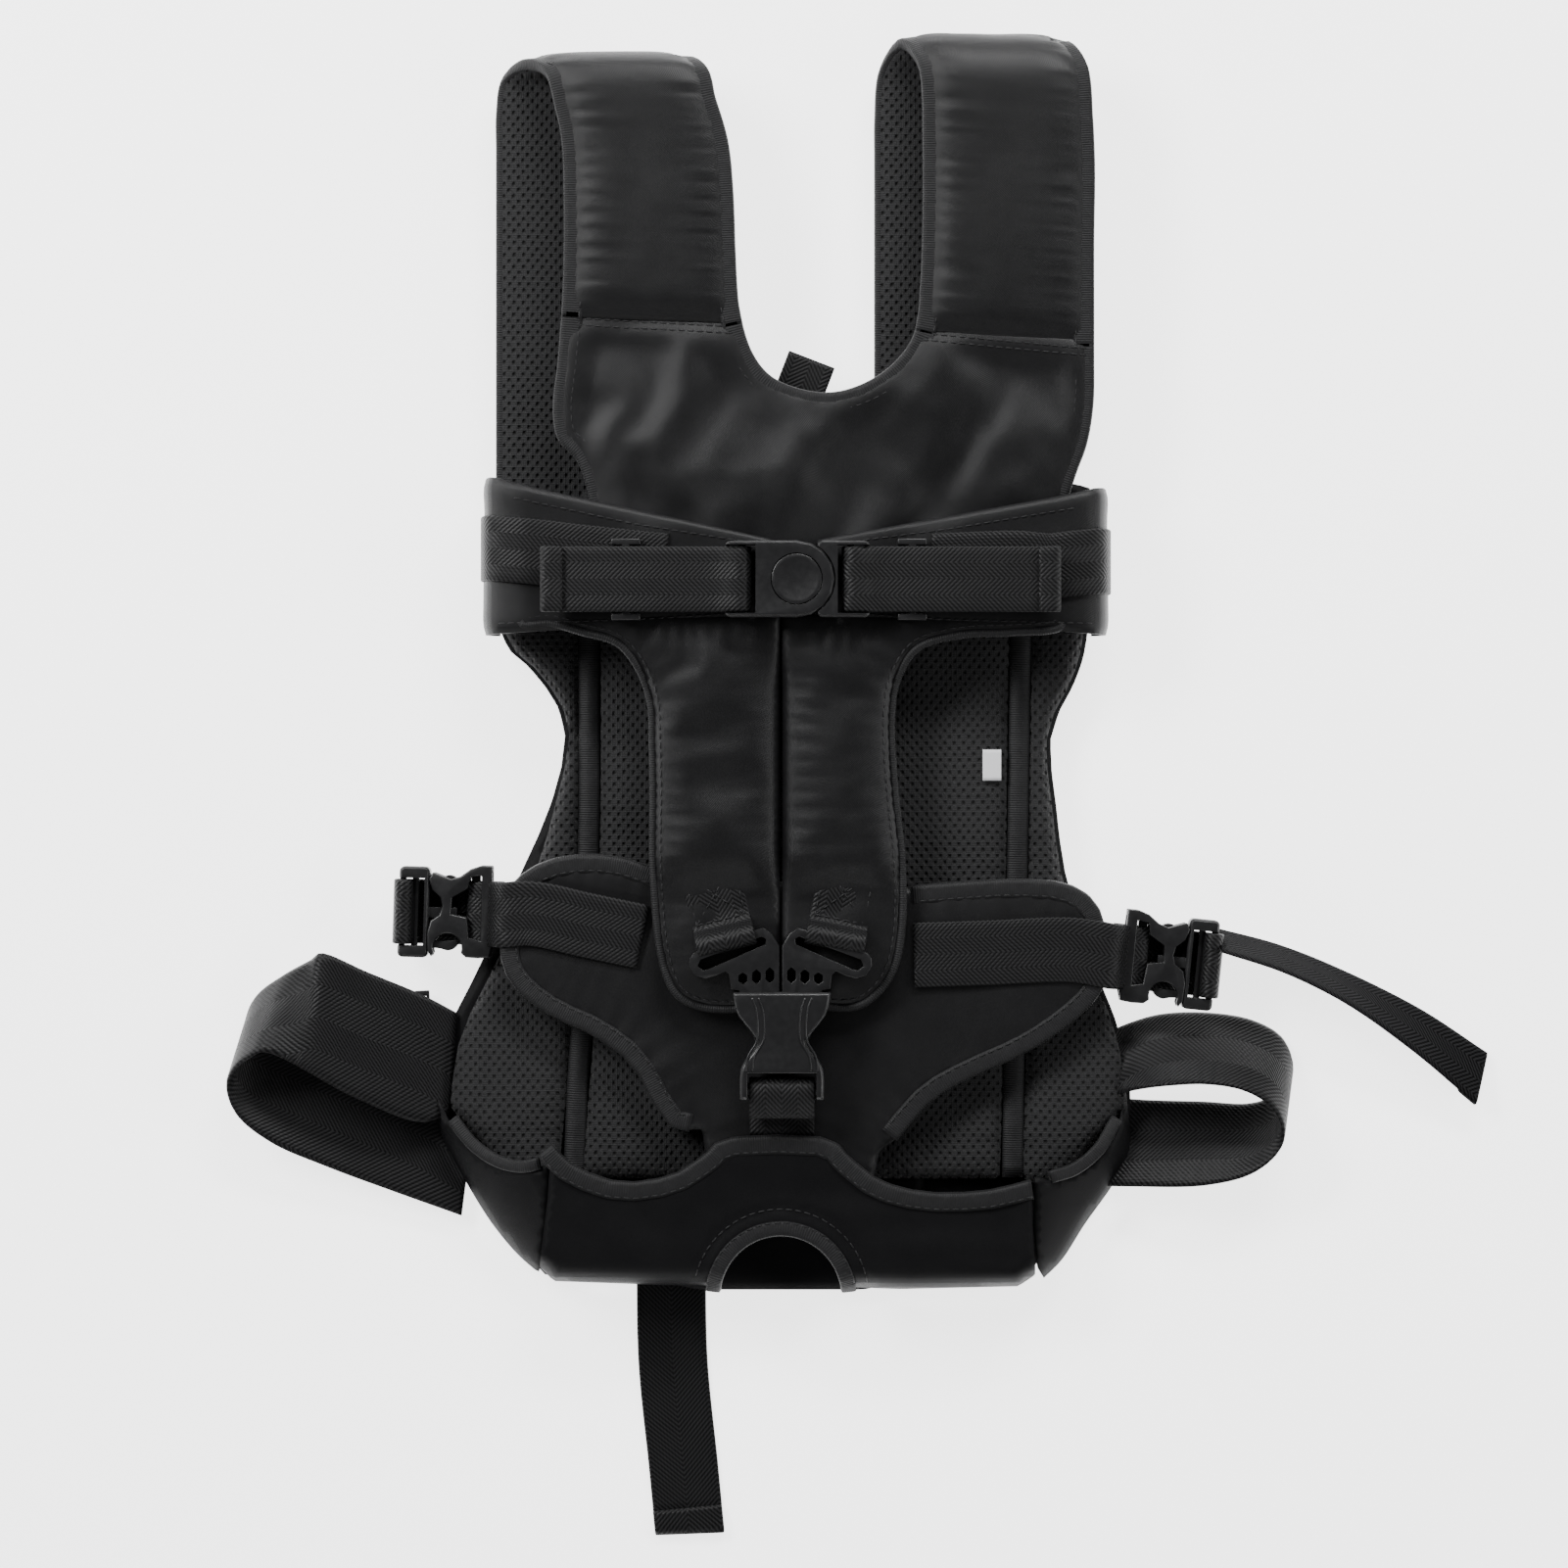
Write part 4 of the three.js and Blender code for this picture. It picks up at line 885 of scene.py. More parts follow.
# %% [markdown]
# ## Plates
# Where a buckle's outline is more than the frame's plain block, its outline is drawn here and cut out of a plate,
# with its windows, then given the same small round.

# %% Plates


def plate(name, outline, z0, z1, holes=(), body="vest", bevel=0.6, stands_for=()):
    rings = [np.array(ring, float) for ring in (outline, *holes)]
    edges, first = [], 0
    for ring in rings:
        edges += [(first + i, first + (i + 1) % len(ring)) for i in range(len(ring))]
        first += len(ring)
    flat, _, triangles, *_ = delaunay_2d_cdt([Vector(q) for q in np.vstack(rings)], edges, [], 0, 1e-6)
    flat = np.array(flat)
    centres = np.array([flat[list(t)].mean(0) for t in triangles])
    kept = inside(centres, rings[0])
    for ring in rings[1:]:
        kept &= ~inside(centres, ring)
    triangles = [t for t, k in zip(triangles, kept) if k]
    points, faces, _ = closed_sheet(flat, triangles, np.full(len(flat), z1), np.full(len(flat), z0))
    made = piece(name, points, faces, plastic, "buckle_plastic", body=body, stands_for=stands_for)
    merge_flat(made.data)
    round_edges(made, bevel, 50)
    return made


# %% [markdown]
# ## The back
# The vest lies on its back panel, which carries the spacer mesh pads that face the wearer. The shell is a single
# layer of nylon. Each mesh pad is cut by its own outline and swells between the seams, where tape covers the joint.

# %% Back shell


def flat_at(z):
    return lambda p, distance, along: np.full(len(p), float(z))


def puffed(z, rise, run, lumps=0.5, size=(26, 34), seed=3, folds=0.0, pitch=7.0, reach=9.0):
    """A cloth top that lies `rise` below z at its edge and swells up to it within `run`."""
    def heights(p, distance, along):
        calm = np.clip(distance / 10, 0, 1)
        puff = z - rise + swell(distance, rise, run) + lumps * calm * cloud(p, size, seed)
        return np.minimum(puff + gather(distance, along, folds, pitch, reach, seed), z + lumps)
    return heights


SHELL_FOOT_DROP = 5
shell_loop = counterclockwise(outline_of("back_shell"))
shell_loop[:, 1] -= SHELL_FOOT_DROP * (shell_loop[:, 1] < -185) * np.exp(-(shell_loop[:, 0] / 60) ** 4)
back_shell = panel(
    "back_shell_cloth", shell_loop, puffed(high("back_shell")[2], 0.8, 6, 0.1), flat_at(low("back_shell")[2]),
    shell_cloth, "shell_nylon", step=4, stands_for=["back_shell"])
print("back outline has", len(shell_loop), "points")

# %% Mesh pads
for side in ("left", "middle", "right"):
    node = f"mesh_pad_{side}"
    pad = panel(
        f"{node}_cloth", counterclockwise(outline_of(node)), puffed(high(node)[2], 3.2, 11, 0.5, (30, 45), 5, 0.5),
        flat_at(low(node)[2]), mesh_cloth, "spacer_mesh", step=3, stands_for=[node])
    print(node, "is", round(np.ptp(outline_of(node)[:, 1])), "mm long")

# %% Tape over the pad seams
for side in ("left", "right"):
    node = f"piping_{side}"
    loop = outline_of(node)
    rows = np.linspace(high(node)[1] - 0.5, low(node)[1] + 0.5, 60)
    close_by = [loop[np.abs(loop[:, 1] - y).argsort()[:6], 0] for y in rows]
    middle = np.array([(x.min() + x.max()) / 2 for x in close_by])
    middle = np.convolve(np.pad(middle, 5, mode="edge"), np.ones(11) / 11, mode="valid")
    line = np.column_stack([middle, rows, np.full(len(middle), high(node)[2] - 2.2)])
    arch = [(x, 1.6 * math.cos(x / 4.2 * math.pi / 2)) for x in np.linspace(-4, 4, 9)]
    sweep(f"{node}_tape", line, (1, 0, 0), arch + [(4, -5), (-4, -5)], tape, "binding_tape", stands_for=[node])
    print(node, "tape is", round(lengths(line, False).sum()), "mm long")

# %% [markdown]
# **Webbing under the back, and the care label.** Two belts and a riser are sewn flat to the outside of the back.
# Each is a straight strap from one end of its node to the other, and so is the blank label that is sewn in beside
# a seam, only thinner and in its own cloth.

# %% Webbing under the back, and the blank care label
BACK_SEWN_EDGE = 2.2
z_back = low("back_riser")[2] + WEB_T / 2


def upright(node, z):
    """A route straight up the middle of a node."""
    x = centre_of(node)[0]
    return [(x, low(node)[1], z), (x, high(node)[1], z)]


def size_of(node):
    return high(node) - low(node)


for node in ("back_chest_webbing", "back_waist_webbing"):
    y = centre_of(node)[1]
    strap(f"{node}_strap", [(low(node)[0], y, z_back), (high(node)[0], y, z_back)], (0, 1, 0),
          width=size_of(node)[1] - BACK_SEWN_EDGE, smooth=False, stands_for=[node])
    print(node, "is", round(size_of(node)[0]), "mm long")
strap("back_riser_strap", upright("back_riser", z_back), (1, 0, 0), leg_web, width=size_of("back_riser")[0],
      smooth=False, stands_for=["back_riser"])
strap("care_label_cloth", upright("care_label", high("care_label")[2] - 0.4), (1, 0, 0), label_cloth,
      width=size_of("care_label")[0], thickness=0.5, smooth=False, slot="label_cloth", stands_for=["care_label"])

# %% [markdown]
# ## The seat
# The seat's front wall is scooped for the thighs and bound along the top. It turns down at its foot to meet the
# back, and a half-round hole at the foot is bound like the rest. A height that falls away near the foot's lines
# rolls the cloth down without another piece, so the hole and the roll can share one panel.

# %% Seat front
lip_low, lip_high = low("seat_lip"), high("seat_lip")
Z_FLOOR_CLOTH = high("back_shell")[2]
LIP_CLOTH_T = 3.0
HOLE = np.array([centre_of("seat_lip")[0] - 2, lip_low[1] - 0.5])
HOLE_R = 24.0
RING_ROWS = (28.6, 33.6)
lip_edge = even(between(outline_of("seat_lip"), (92, -168), (-92, -156)), 2, False)
LIP_FOOT = {"left": [(-97, -203), (-92, -208), (-50, -209.5), (-30, -209.5)],
            "right": [(22, -210), (45, -211), (88, -210), (94, -206)]}
LIP_ROLL = 9.0


def round_hole(x, y, r, start=0.0, end=2 * math.pi, count=24):
    return [(x + r * math.cos(t), y + r * math.sin(t)) for t in np.linspace(start, end, count)]


arc = np.array(round_hole(*HOLE, HOLE_R, math.pi - 0.1, 0.1, 31))
lip_loop = np.vstack([
    lip_edge, [(-93.5, -175)], LIP_FOOT["left"][:3], arc, LIP_FOOT["right"][1:], [(92.5, -185)]])


def lip_top(p, distance, along):
    """Nearly level, with soft lumps, then rolling down to the seam at its foot."""
    from_foot = np.minimum(*(near(p, line, closed=False)[0] for line in LIP_FOOT.values()))
    foot = np.clip(from_foot / LIP_ROLL, 0, 1)
    ring = np.exp(-((np.linalg.norm(p - HOLE, axis=1) - RING_ROWS[1] + 0.1) / 1.2) ** 2)
    lumps = 0.9 * cloud(p, (46, 13), 8) * np.clip(distance / 8, 0, 1)
    return lip_high[2] - 0.6 - (1 - np.sqrt(1 - (1 - foot) ** 2)) * 20 + lumps * foot - 0.8 * ring


seat_lip = panel("seat_lip_cloth", lip_loop, lip_top, lambda p, d, a: lip_top(p, d, a) - LIP_CLOTH_T,
                 shell_cloth, "shell_nylon", step=2.4, stands_for=["seat_lip"])
bind_outline("seat_lip_binding", lip_edge, lip_high[2] - 2.4, 1.7)
ring_z = lip_top(arc, np.zeros(len(arc)), 0) - 1.2
away = np.column_stack([arc - HOLE, np.zeros(len(arc))])
hole_ring = bind("seat_hole_binding", np.column_stack([arc, ring_z]), away, 1.3, width=5.0)
SEAT_PAN = np.array([(-60, -150), (52, -150), (50, -207), (28, -211.5), (-36, -211.5), (-58, -207)], float)
seat_pan = panel(
    "seat_pan_cloth", counterclockwise(SEAT_PAN),
    puffed(Z_FLOOR_CLOTH + 2.2, 1.0, 8, 0.7, (18, 14), 15), flat_at(Z_FLOOR_CLOTH + 0.2), shell_cloth, "shell_nylon",
    step=3.5)
lip_seams = [inset(lip_edge, BINDING_W - 1)]
lip_seams += [round_hole(*HOLE, r, 0.05, math.pi - 0.05, 40) for r in RING_ROWS]
stitches("seat_lip_stitches", lip_seams, [*look_up("seat_lip_binding"), hole_ring, seat_lip])
print("seat edge is", round(lengths(lip_edge, False).sum()), "mm long")

# %% [markdown]
# **Gussets.** A piece of shell nylon closes each side of the seat. Its top edge stands up beside the thigh, and it
# slopes out to the floor. The height grows with the way in from the outer edge, which gives that slope at once.

# %% Seat gussets
GUSSET_RISE, GUSSET_RUN = 19, 26
GUSSETS = {
    "left": {
        "outer": [(-139, -133), (-138.5, -142), (-135, -153), (-126, -170), (-116, -186), (-106, -198), (-98, -205)],
        "inner": [(-96.6, -200), (-94, -180), (-92.5, -160)],
        "top": [(-96, -162.5), (-104, -164), (-114, -162), (-124, -155.5), (-132, -146)]},
    "right": {
        "outer": [(98, -207), (105, -200), (114, -186), (124, -172), (131, -160), (131.5, -150), (129.5, -132)],
        "top": [(127, -146), (120, -157), (110, -165), (100, -168)],
        "inner": [(93.5, -166), (93, -185), (95, -202)]}}
for side, drawn in GUSSETS.items():
    edges = {name: line if name == "inner" else plan_curve(line, 2) for name, line in drawn.items()}

    def gusset_top(p, distance, along):
        out, _ = near(p, edges["outer"], closed=False)
        lumps = cloud(p, (16, 30), 9) * np.clip(distance / 8, 0, 1)
        return Z_FLOOR_CLOTH + 1.5 + GUSSET_RISE * np.clip(out / GUSSET_RUN, 0, 1) ** 0.6 + lumps

    gusset = panel(f"seat_gusset_{side}_cloth", counterclockwise(np.vstack(list(edges.values()))), gusset_top,
                   lambda p, d, a: np.maximum(gusset_top(p, d, a) - 3, Z_FLOOR_CLOTH + 0.3), shell_cloth,
                   "shell_nylon", step=2.6, stands_for=[f"seat_gusset_{side}"])
    bind_outline(f"seat_gusset_{side}_binding", edges["top"][::-1],
                 lambda line: gusset_top(line, np.zeros(len(line)), 0) - 0.8, 1.2, width=4.0)
    print(side, "gusset's top edge is", round(lengths(edges["top"], False).sum()), "mm long")

# %% [markdown]
# ## The crotch panel
# It comes up from the seat and spreads a wing over each thigh. It is thin foam between two cloths, with tape all
# round, and the waist straps are sewn across the wings.

# %% Crotch panel
crotch_loop = counterclockwise(outline_of("crotch_panel"))
crotch_z = high("crotch_panel")[2]
crotch_panel = panel(
    "crotch_panel_cloth", crotch_loop, puffed(crotch_z + 0.4, 1.2, 12, 0.8, (30, 22), 12, 0.4, 8),
    flat_at(low("crotch_panel")[2]), satin, "padded_nylon", stands_for=["crotch_panel"])
for side, start, end in (("left", (-46, -51), (-38, -143)), ("right", (40, -152), (46, -55))):
    edge = between(crotch_loop, start, end)
    binding = bind_outline(f"crotch_binding_{side}", edge, crotch_z - 2.5, 2.6)
    stitches(f"crotch_stitches_{side}", [inset(even(edge, 2, False), BINDING_W - 1)], [binding])
    print(side, "wing's edge is", round(lengths(edge, False).sum()), "mm long")

# %% [markdown]
# ## Bib and shoulder loops
# The front of the vest is a bib that continues over each shoulder as a padded loop. The loops are puffier than the
# bib: they hold more foam, and a double row of stitches marks where the two meet.

# %% The lines of the front
# Each line runs up the front of a shoulder and starts at the bib's foot. Heights are added later.
LEFT_OUTER = [(-76, 60), (-76.5, 92), (-81.5, 109), (-88.7, 117), (-90.6, 128), (-88.7, 147), (-86.8, 175),
              (-86.4, 208), (-87.6, 234), (-91.5, 250)]
RIGHT_OUTER = [(104, 60), (105, 92), (108.5, 104), (112.5, 115), (115, 130), (115.3, 152), (115.3, 191),
               (115.6, 223), (114.5, 247)]
NECK_LEFT = [(-30.5, 250), (-25, 231), (-23, 211), (-22, 185), (-20.5, 166), (-15.8, 150), (-9, 141), (1, 136)]
NECK_RIGHT = [(51, 247), (51.2, 207), (50.2, 175.6), (47.8, 157), (39.8, 145.5), (28, 137.5), (15, 134)]
SEAM_LEFT, SEAM_RIGHT = (165, 161.5), (153, 159)
FRONT_MIDDLE = 15
bib_z = high("bib")[2]
Z_STRAP = bib_z - 3.8
Z_REAR = low("mesh_pad_left")[2] + 4.0


def cut_at(line, y, keep_below):
    """The part of a front line below or above this height up the vest."""
    fine = plan_curve(line)
    return fine[fine[:, 1] <= y] if keep_below else fine[fine[:, 1] >= y]


def seam_y(p):
    """Where the inner end of the nearer shoulder seam lies."""
    return np.where(p[:, 0] < FRONT_MIDDLE, SEAM_LEFT[1], SEAM_RIGHT[1])


print("the bib's front is at", round(bib_z), "mm")

# %% Bib
UNDERLAP = 4.0
neck = plan_curve(NECK_LEFT + NECK_RIGHT[::-1])
bib_loop = counterclockwise(np.vstack([
    cut_at(LEFT_OUTER, SEAM_LEFT[0] + UNDERLAP, True), neck[neck[:, 1] <= seam_y(neck) + UNDERLAP],
    cut_at(RIGHT_OUTER, SEAM_RIGHT[0] + UNDERLAP, True)[::-1]]))


def bib_top(p, distance, along):
    """Soft folds that hang from the seams and cross the middle, over swollen edges."""
    calm = np.clip((distance - 4) / 10, 0, 1)
    slant = p @ np.array([[0.86, 0.5], [-0.5, 0.86]])
    folds = 1.5 * cloud(slant, (13, 46), 21) + 1.1 * cloud(p @ np.array([[0.8, -0.6], [0.6, 0.8]]), (15, 38), 25)
    fine = 0.15 * cloud(p, (8, 15), 22)
    sewn = np.exp(-(np.minimum(p[:, 1] - seam_y(p) - 2, 0) / 5) ** 2) * (np.abs(p[:, 0] - 14) > 36)
    return bib_z - 2.8 + (swell(distance, 1.6, 9) + calm * (folds + fine) * 0.75) * (1 - sewn)


bib = panel("bib_cloth", bib_loop, bib_top, flat_at(low("bib")[2]), satin, "padded_nylon", step=2.4,
            slack=0.011, pressure=0.3, most=2.5, stands_for=["bib"])

# %% Shoulder loops


def over_the_shoulder(front, crown, rear_x, rear_foot):
    """A front line carried on over the crown and down the back, with its heights."""
    fine = plan_curve(front)
    x_top, y_top = fine[-1]
    x_crown = (x_top + rear_x) / 2
    y_turn = y_top * 0.4 + crown * 0.6
    return [
        *((x, y, Z_STRAP) for x, y in fine[::8]),
        (x_top * 0.8 + x_crown * 0.2, y_turn, Z_STRAP - 1.2),
        (x_crown, crown, (Z_STRAP + Z_REAR) / 2),
        (rear_x * 0.8 + x_crown * 0.2, y_turn, Z_REAR + 1.2),
        *((rear_x, y, Z_REAR) for y in np.linspace(y_top - 6, rear_foot, 12))]


LOOP_W = 62


def loop_over(seed):
    """Puffed between its bindings, gathered along both, and pinched where it is sewn to the bib."""
    def heights(gap, along, share):
        p = np.column_stack([(share * LOOP_W).ravel(), along.ravel()])
        lumps = (0.35 * cloud(p, (30, 40), seed) + 0.1 * cloud(p, (9, 12), seed + 1)).reshape(gap.shape)
        seam = 1 - np.exp(-(along / 6) ** 2)
        side = np.where(share < 0.5, seed, seed + 40)
        tucks = gather(np.maximum(gap - 5, 0).ravel(), along.ravel() + side.ravel(), 0.8, 6.0, 5, seed)
        free = np.clip((gap - 4) / 5, 0, 1)
        return 1.5 + (swell(np.maximum(gap - 4, 0), 3.0, 14) + (lumps + tucks.reshape(gap.shape)) * free) * seam
    return heights


def loop_under(gap, along, share):
    return 1.5 + swell(gap, 1.6, 10)


for side, seed, crown, seam, outer, inner, rear_outer, rear_inner in (
        ("left", 31, 262, SEAM_LEFT, LEFT_OUTER, NECK_LEFT[::-1], -113.5, -49),
        ("right", 36, 269, SEAM_RIGHT, RIGHT_OUTER, NECK_RIGHT[::-1], 97, 33)):
    name = f"shoulder_loop_{side}"
    rear_foot = low(name)[1] - 14
    edges = [
        over_the_shoulder(cut_at(line, y, False), crown + extra, rear_x, rear_foot)
        for line, y, rear_x, extra in ((outer, seam[0] - 1.5, rear_outer, 0), (inner, seam[1] - 1.5, rear_inner, 1))]
    loop = band(f"{name}_cloth", *edges, loop_over(seed), loop_under, [satin, mesh_cloth], "padded_nylon",
                cells=26, step=2.2, stands_for=[name])
    print(side, "shoulder loop is", round(lengths(bands[f"{name}_cloth"]["a"], False).sum()), "mm long")

# %% [markdown]
# **The tapes of the front.** One tape runs up each armhole edge and over the shoulder, and one runs round the neck
# and over both. They are sewn on after the cloths, along the very edges the cloths were made from, so they fit
# without any measuring. The stitches then drop on to the tapes.

# %% Bindings of the front
FRONT_TAPE_W = 7.2
FRONT_SEAM = FRONT_TAPE_W - 0.9
BOTH_EDGES = [(side, which) for side in ("left", "right") for which in "ab"]
front_edges = {
    "armhole_left": cut_at(LEFT_OUTER, SEAM_LEFT[0] + 1, True)[::-1],
    "armhole_right": cut_at(RIGHT_OUTER, SEAM_RIGHT[0] + 1, True),
    "neck": neck[neck[:, 1] <= seam_y(neck) + 1][::-1]}
shoulder_tapes = [
    bind_band(f"shoulder_binding_{side}_{which}", f"shoulder_loop_{side}_cloth", which, 1.5, width=FRONT_TAPE_W)
    for side, which in BOTH_EDGES]
front_tapes = [bind_outline(f"{name}_binding", edge, Z_STRAP, 1.5, width=FRONT_TAPE_W)
               for name, edge in front_edges.items()] + shoulder_tapes
print("tapes of the front:", len(front_tapes))

# %% Front stitches


def band_seam(name, which, by):
    """A line on the front of a band, this far in from one of its edges."""
    source = bands[name]
    a, b = (source["a"], source["b"]) if which == "a" else (source["b"], source["a"])
    into = (b - a) / np.linalg.norm(b - a, axis=1)[:, None]
    line = a + into * by
    return line[: line[:, 1].argmax()][:, :2]


tape_seams = [inset(even(edge, 2, False), FRONT_SEAM) for edge in front_edges.values()]
tape_seams += [band_seam(f"shoulder_loop_{side}_cloth", which, FRONT_SEAM) for side, which in BOTH_EDGES]
stitches("front_tape_stitches", tape_seams, front_tapes)
bib_seams = [[(-86, SEAM_LEFT[0] - d), (-22, SEAM_LEFT[1] - d)] for d in (1.6, 4.2)]
bib_seams += [[(50, SEAM_RIGHT[1] - d), (114, SEAM_RIGHT[0] - d)] for d in (1.6, 4.2)]
stitches("bib_seam_stitches", bib_seams, [bib])
print("rows of stitches on the front:", len(tape_seams) + len(bib_seams))

# %% [markdown]
# **Behind the neck.** A yoke of shell nylon joins the two loops to the back, and a short tab of webbing stands on
# it, by which the vest is hung up. The tab leans a little, so its middle is lifted.

# %% Yoke and hang tab behind the neck
yoke = panel("neck_yoke_cloth", counterclockwise(outline_of("neck_yoke")), puffed(high("neck_yoke")[2], 0.8, 5, 0.2),
             flat_at(low("neck_yoke")[2]), shell_cloth, "shell_nylon", stands_for=["neck_yoke"])
z_tab = high("neck_yoke")[2] + 1.6
strap("hang_tab_strap", [(-3, 121, z_tab), (3, 136, z_tab + 0.6), (8, 149, z_tab)], (0.85, -0.5, 0), width=19,
      thickness=1.6, stands_for=["hang_tab"])
print("the yoke is", round(size_of("neck_yoke")[0]), "mm wide")

# %% [markdown]
# ## Chest wings
# A wing of thin cloth wraps round from each side of the back, over the bib, to the middle. The chest webbing is
# sewn on top of it. At the fold the cloth rises from the back in one curve.

# %% Belt panels
Z_PANEL = high("belt_panel_left")[2] - 1.6
Z_FOLD = high("back_shell")[2] + 2


def wing_edge(side, fold, side_y, end_x, end_y):
    return [
        (fold - side * 3, side_y, Z_FOLD), (fold, side_y, Z_FOLD + 6), (fold, side_y, Z_PANEL - 12),
        (fold - side * 3, side_y, Z_PANEL - 3), (fold - side * 12, side_y + (end_y - side_y) * 0.1, Z_PANEL),
        (fold - side * 22, side_y + (end_y - side_y) * 0.2, Z_PANEL),
        ((fold + end_x) / 2, (side_y + end_y) / 2, Z_PANEL), (end_x, end_y, Z_PANEL)]


def wing_over(gap, along, share):
    p = np.column_stack([(share * 50).ravel(), along.ravel()])
    return 0.9 + swell(gap, 0.7, 7) + (0.5 * cloud(p, (12, 17), 41)).reshape(gap.shape) * np.clip(gap / 6, 0, 1)


for side, sign, fold, side_top, end_x in (("left", -1, -116.5, 102, -6), ("right", 1, 120, 98, 10)):
    name = f"belt_panel_{side}"
    wing = band(f"{name}_cloth", wing_edge(sign, fold, side_top, end_x, 78), wing_edge(sign, fold, 42, end_x, 48),
                wing_over, lambda gap, along, share: 0.9 + 0 * gap, satin, "padded_nylon",
                facing=(sign, 0, 0.1), cells=20, stands_for=[name])
    print(side, "wing is", round(lengths(bands[f"{name}_cloth"]["b"], False).sum()), "mm long")

# %% Wing hems
for side, top, foot in (("left", [(-106, 94), (-60, 84), (-10, 76)], [(-112, 46), (-60, 47.5), (-10, 50.5)]),
                        ("right", [(108, 90), (60, 82), (14, 76)], [(115, 46), (60, 47.5), (14, 50.5)])):
    stitches(f"belt_panel_{side}_stitches", [top, foot], look_up(f"belt_panel_{side}_cloth"))

# %% [markdown]
# **Belt webbing.** The chest belt lies on the wing and turns the same corner at the side, a little further out. So
# its route is the wing's own, moved out by half of both thicknesses.

# %% Belt webbing
out = 2.25
for side, sign, fold, y, end_x in (("left", -1, -116.5, 75, -48), ("right", 1, 120, 70, 54)):
    strap(f"belt_webbing_{side}_strap", [
        (fold + sign * out, y, Z_FOLD + 6), (fold + sign * out, y, Z_PANEL - 12),
        (fold - sign * 3 + sign * out * 0.85, y, Z_PANEL - 3 + out * 0.6), (fold - sign * 12, y - 1, Z_PANEL + out),
        (fold - sign * 22, y - 2, Z_PANEL + out), ((fold + end_x) / 2, (y + 68) / 2, Z_PANEL + out),
        (end_x, 68, Z_PANEL + out)], (0, 1, 0), facing=(sign, 0, 0.1), stands_for=[f"belt_webbing_{side}"])
print("the belt stands", out, "mm off the wings' middle")

# %% [markdown]
# ## Front pads
# Two thick pads hang from the bib to the crotch buckle. A corded piping runs down the outer edge of each, and the
# foot is sewn flat under the webbing that holds the buckle's tongue.

# %% Front pads
PAD_RISE = 5.6
pad_z = high("front_pad_left")[2]
PAD_PART = {"left": (low("front_pad_right")[0] + high("front_pad_left")[0]) / 2 - 0.5}
PAD_PART["right"] = PAD_PART["left"] + 1
PAD_EDGE = {
    "left": [(-104, 51), (-103, 45.8), (-92, 46), (-79.6, 42.6), (-66.4, 38.5), (-58.5, 29), (-54, 16), (-53.2, 0),
             (-52.8, -17.7), (-52.8, -50), (-49.6, -82), (-44.5, -95), (-37, -100), (-24.5, -101.7), (-12, -100)],
    "right": [(104, 49), (103, 44.8), (84, 42.5), (64.5, 41.5), (48, 36.5), (40.6, 25), (38.3, 11), (39.6, -17.7),
              (42.2, -43.4), (42.4, -69.4), (39.2, -86), (32.8, -95.5), (25, -100.5), (12, -100.5), (4, -99)]}


def step_between(value, low_end, high_end):
    t = np.clip((value - low_end) / (high_end - low_end), 0, 1)
    return t * t * (3 - 2 * t)


def pad_top(seed):
    """Full down to the tab, thin below it, and spread thin over the wing at the arch."""
    def heights(p, distance, along):
        full = step_between(p[:, 1], -62, -40)
        wing = step_between(p[:, 1], 18, 42)
        rise = 1.2 + (PAD_RISE - 1.2) * full * (1 - wing)
        base = pad_z - PAD_RISE + (PAD_RISE - 0.8) * wing
        calm = np.clip((distance - 2) / 8, 0, 1)
        folds = 0.5 * cloud(p, (30, 18), seed) + 0.15 * cloud(p, (9, 10), seed + 4)
        tucks = gather(distance, along, 0.9, 6.5, 6, seed)
        return base + swell(distance, rise, 14) + (folds + tucks) * calm * (0.4 + 0.4 * full)
    return heights


for side, sign, seed in (("left", -1, 51), ("right", 1, 57)):
    node = f"front_pad_{side}"
    part = PAD_PART[side]
    edge = plan_curve(PAD_EDGE[side], 1.5)
    loop = counterclockwise(np.vstack([[(part, 50.5)], edge, [(part + sign * 3, -98.5), (part, -95)]]))
    pad = panel(f"{node}_cloth", loop, pad_top(seed), flat_at(low("front_pad_left")[2]), satin, "padded_nylon",
                step=2.3, slack=0.012, pressure=0.5, most=2.0, hold=3.0, stands_for=[node])
    outer = edge[1:] if sign < 0 else edge[::-1][:-1]
    outer = outer[outer[:, 1] < 47]
    line = even(outer, 1.5, False)
    z_cord = pad_z - PAD_RISE + (PAD_RISE - 0.8) * step_between(line[:, 1], 18, 42)
    sweep(f"{node}_piping", np.column_stack([line, z_cord]), inward_of(line), cord_section(1.5, 12), tape,
          "binding_tape")
    into_pad = inward_of(line)[len(line) // 2][0] * sign < 0
    stitches(f"{node}_stitches", [inset(line, 3.0 if into_pad else -3.0)], [pad])
    print(side, "pad's piping is", round(lengths(line, False).sum()), "mm long")

# %% [markdown]
# ## Sewn squares and small straps
# A square of webbing with a crossed box of stitches holds each half of the crotch tongue. Its free end goes down
# through the tongue's slot and back under itself, so the route is drawn as that turn, and the flat section follows.

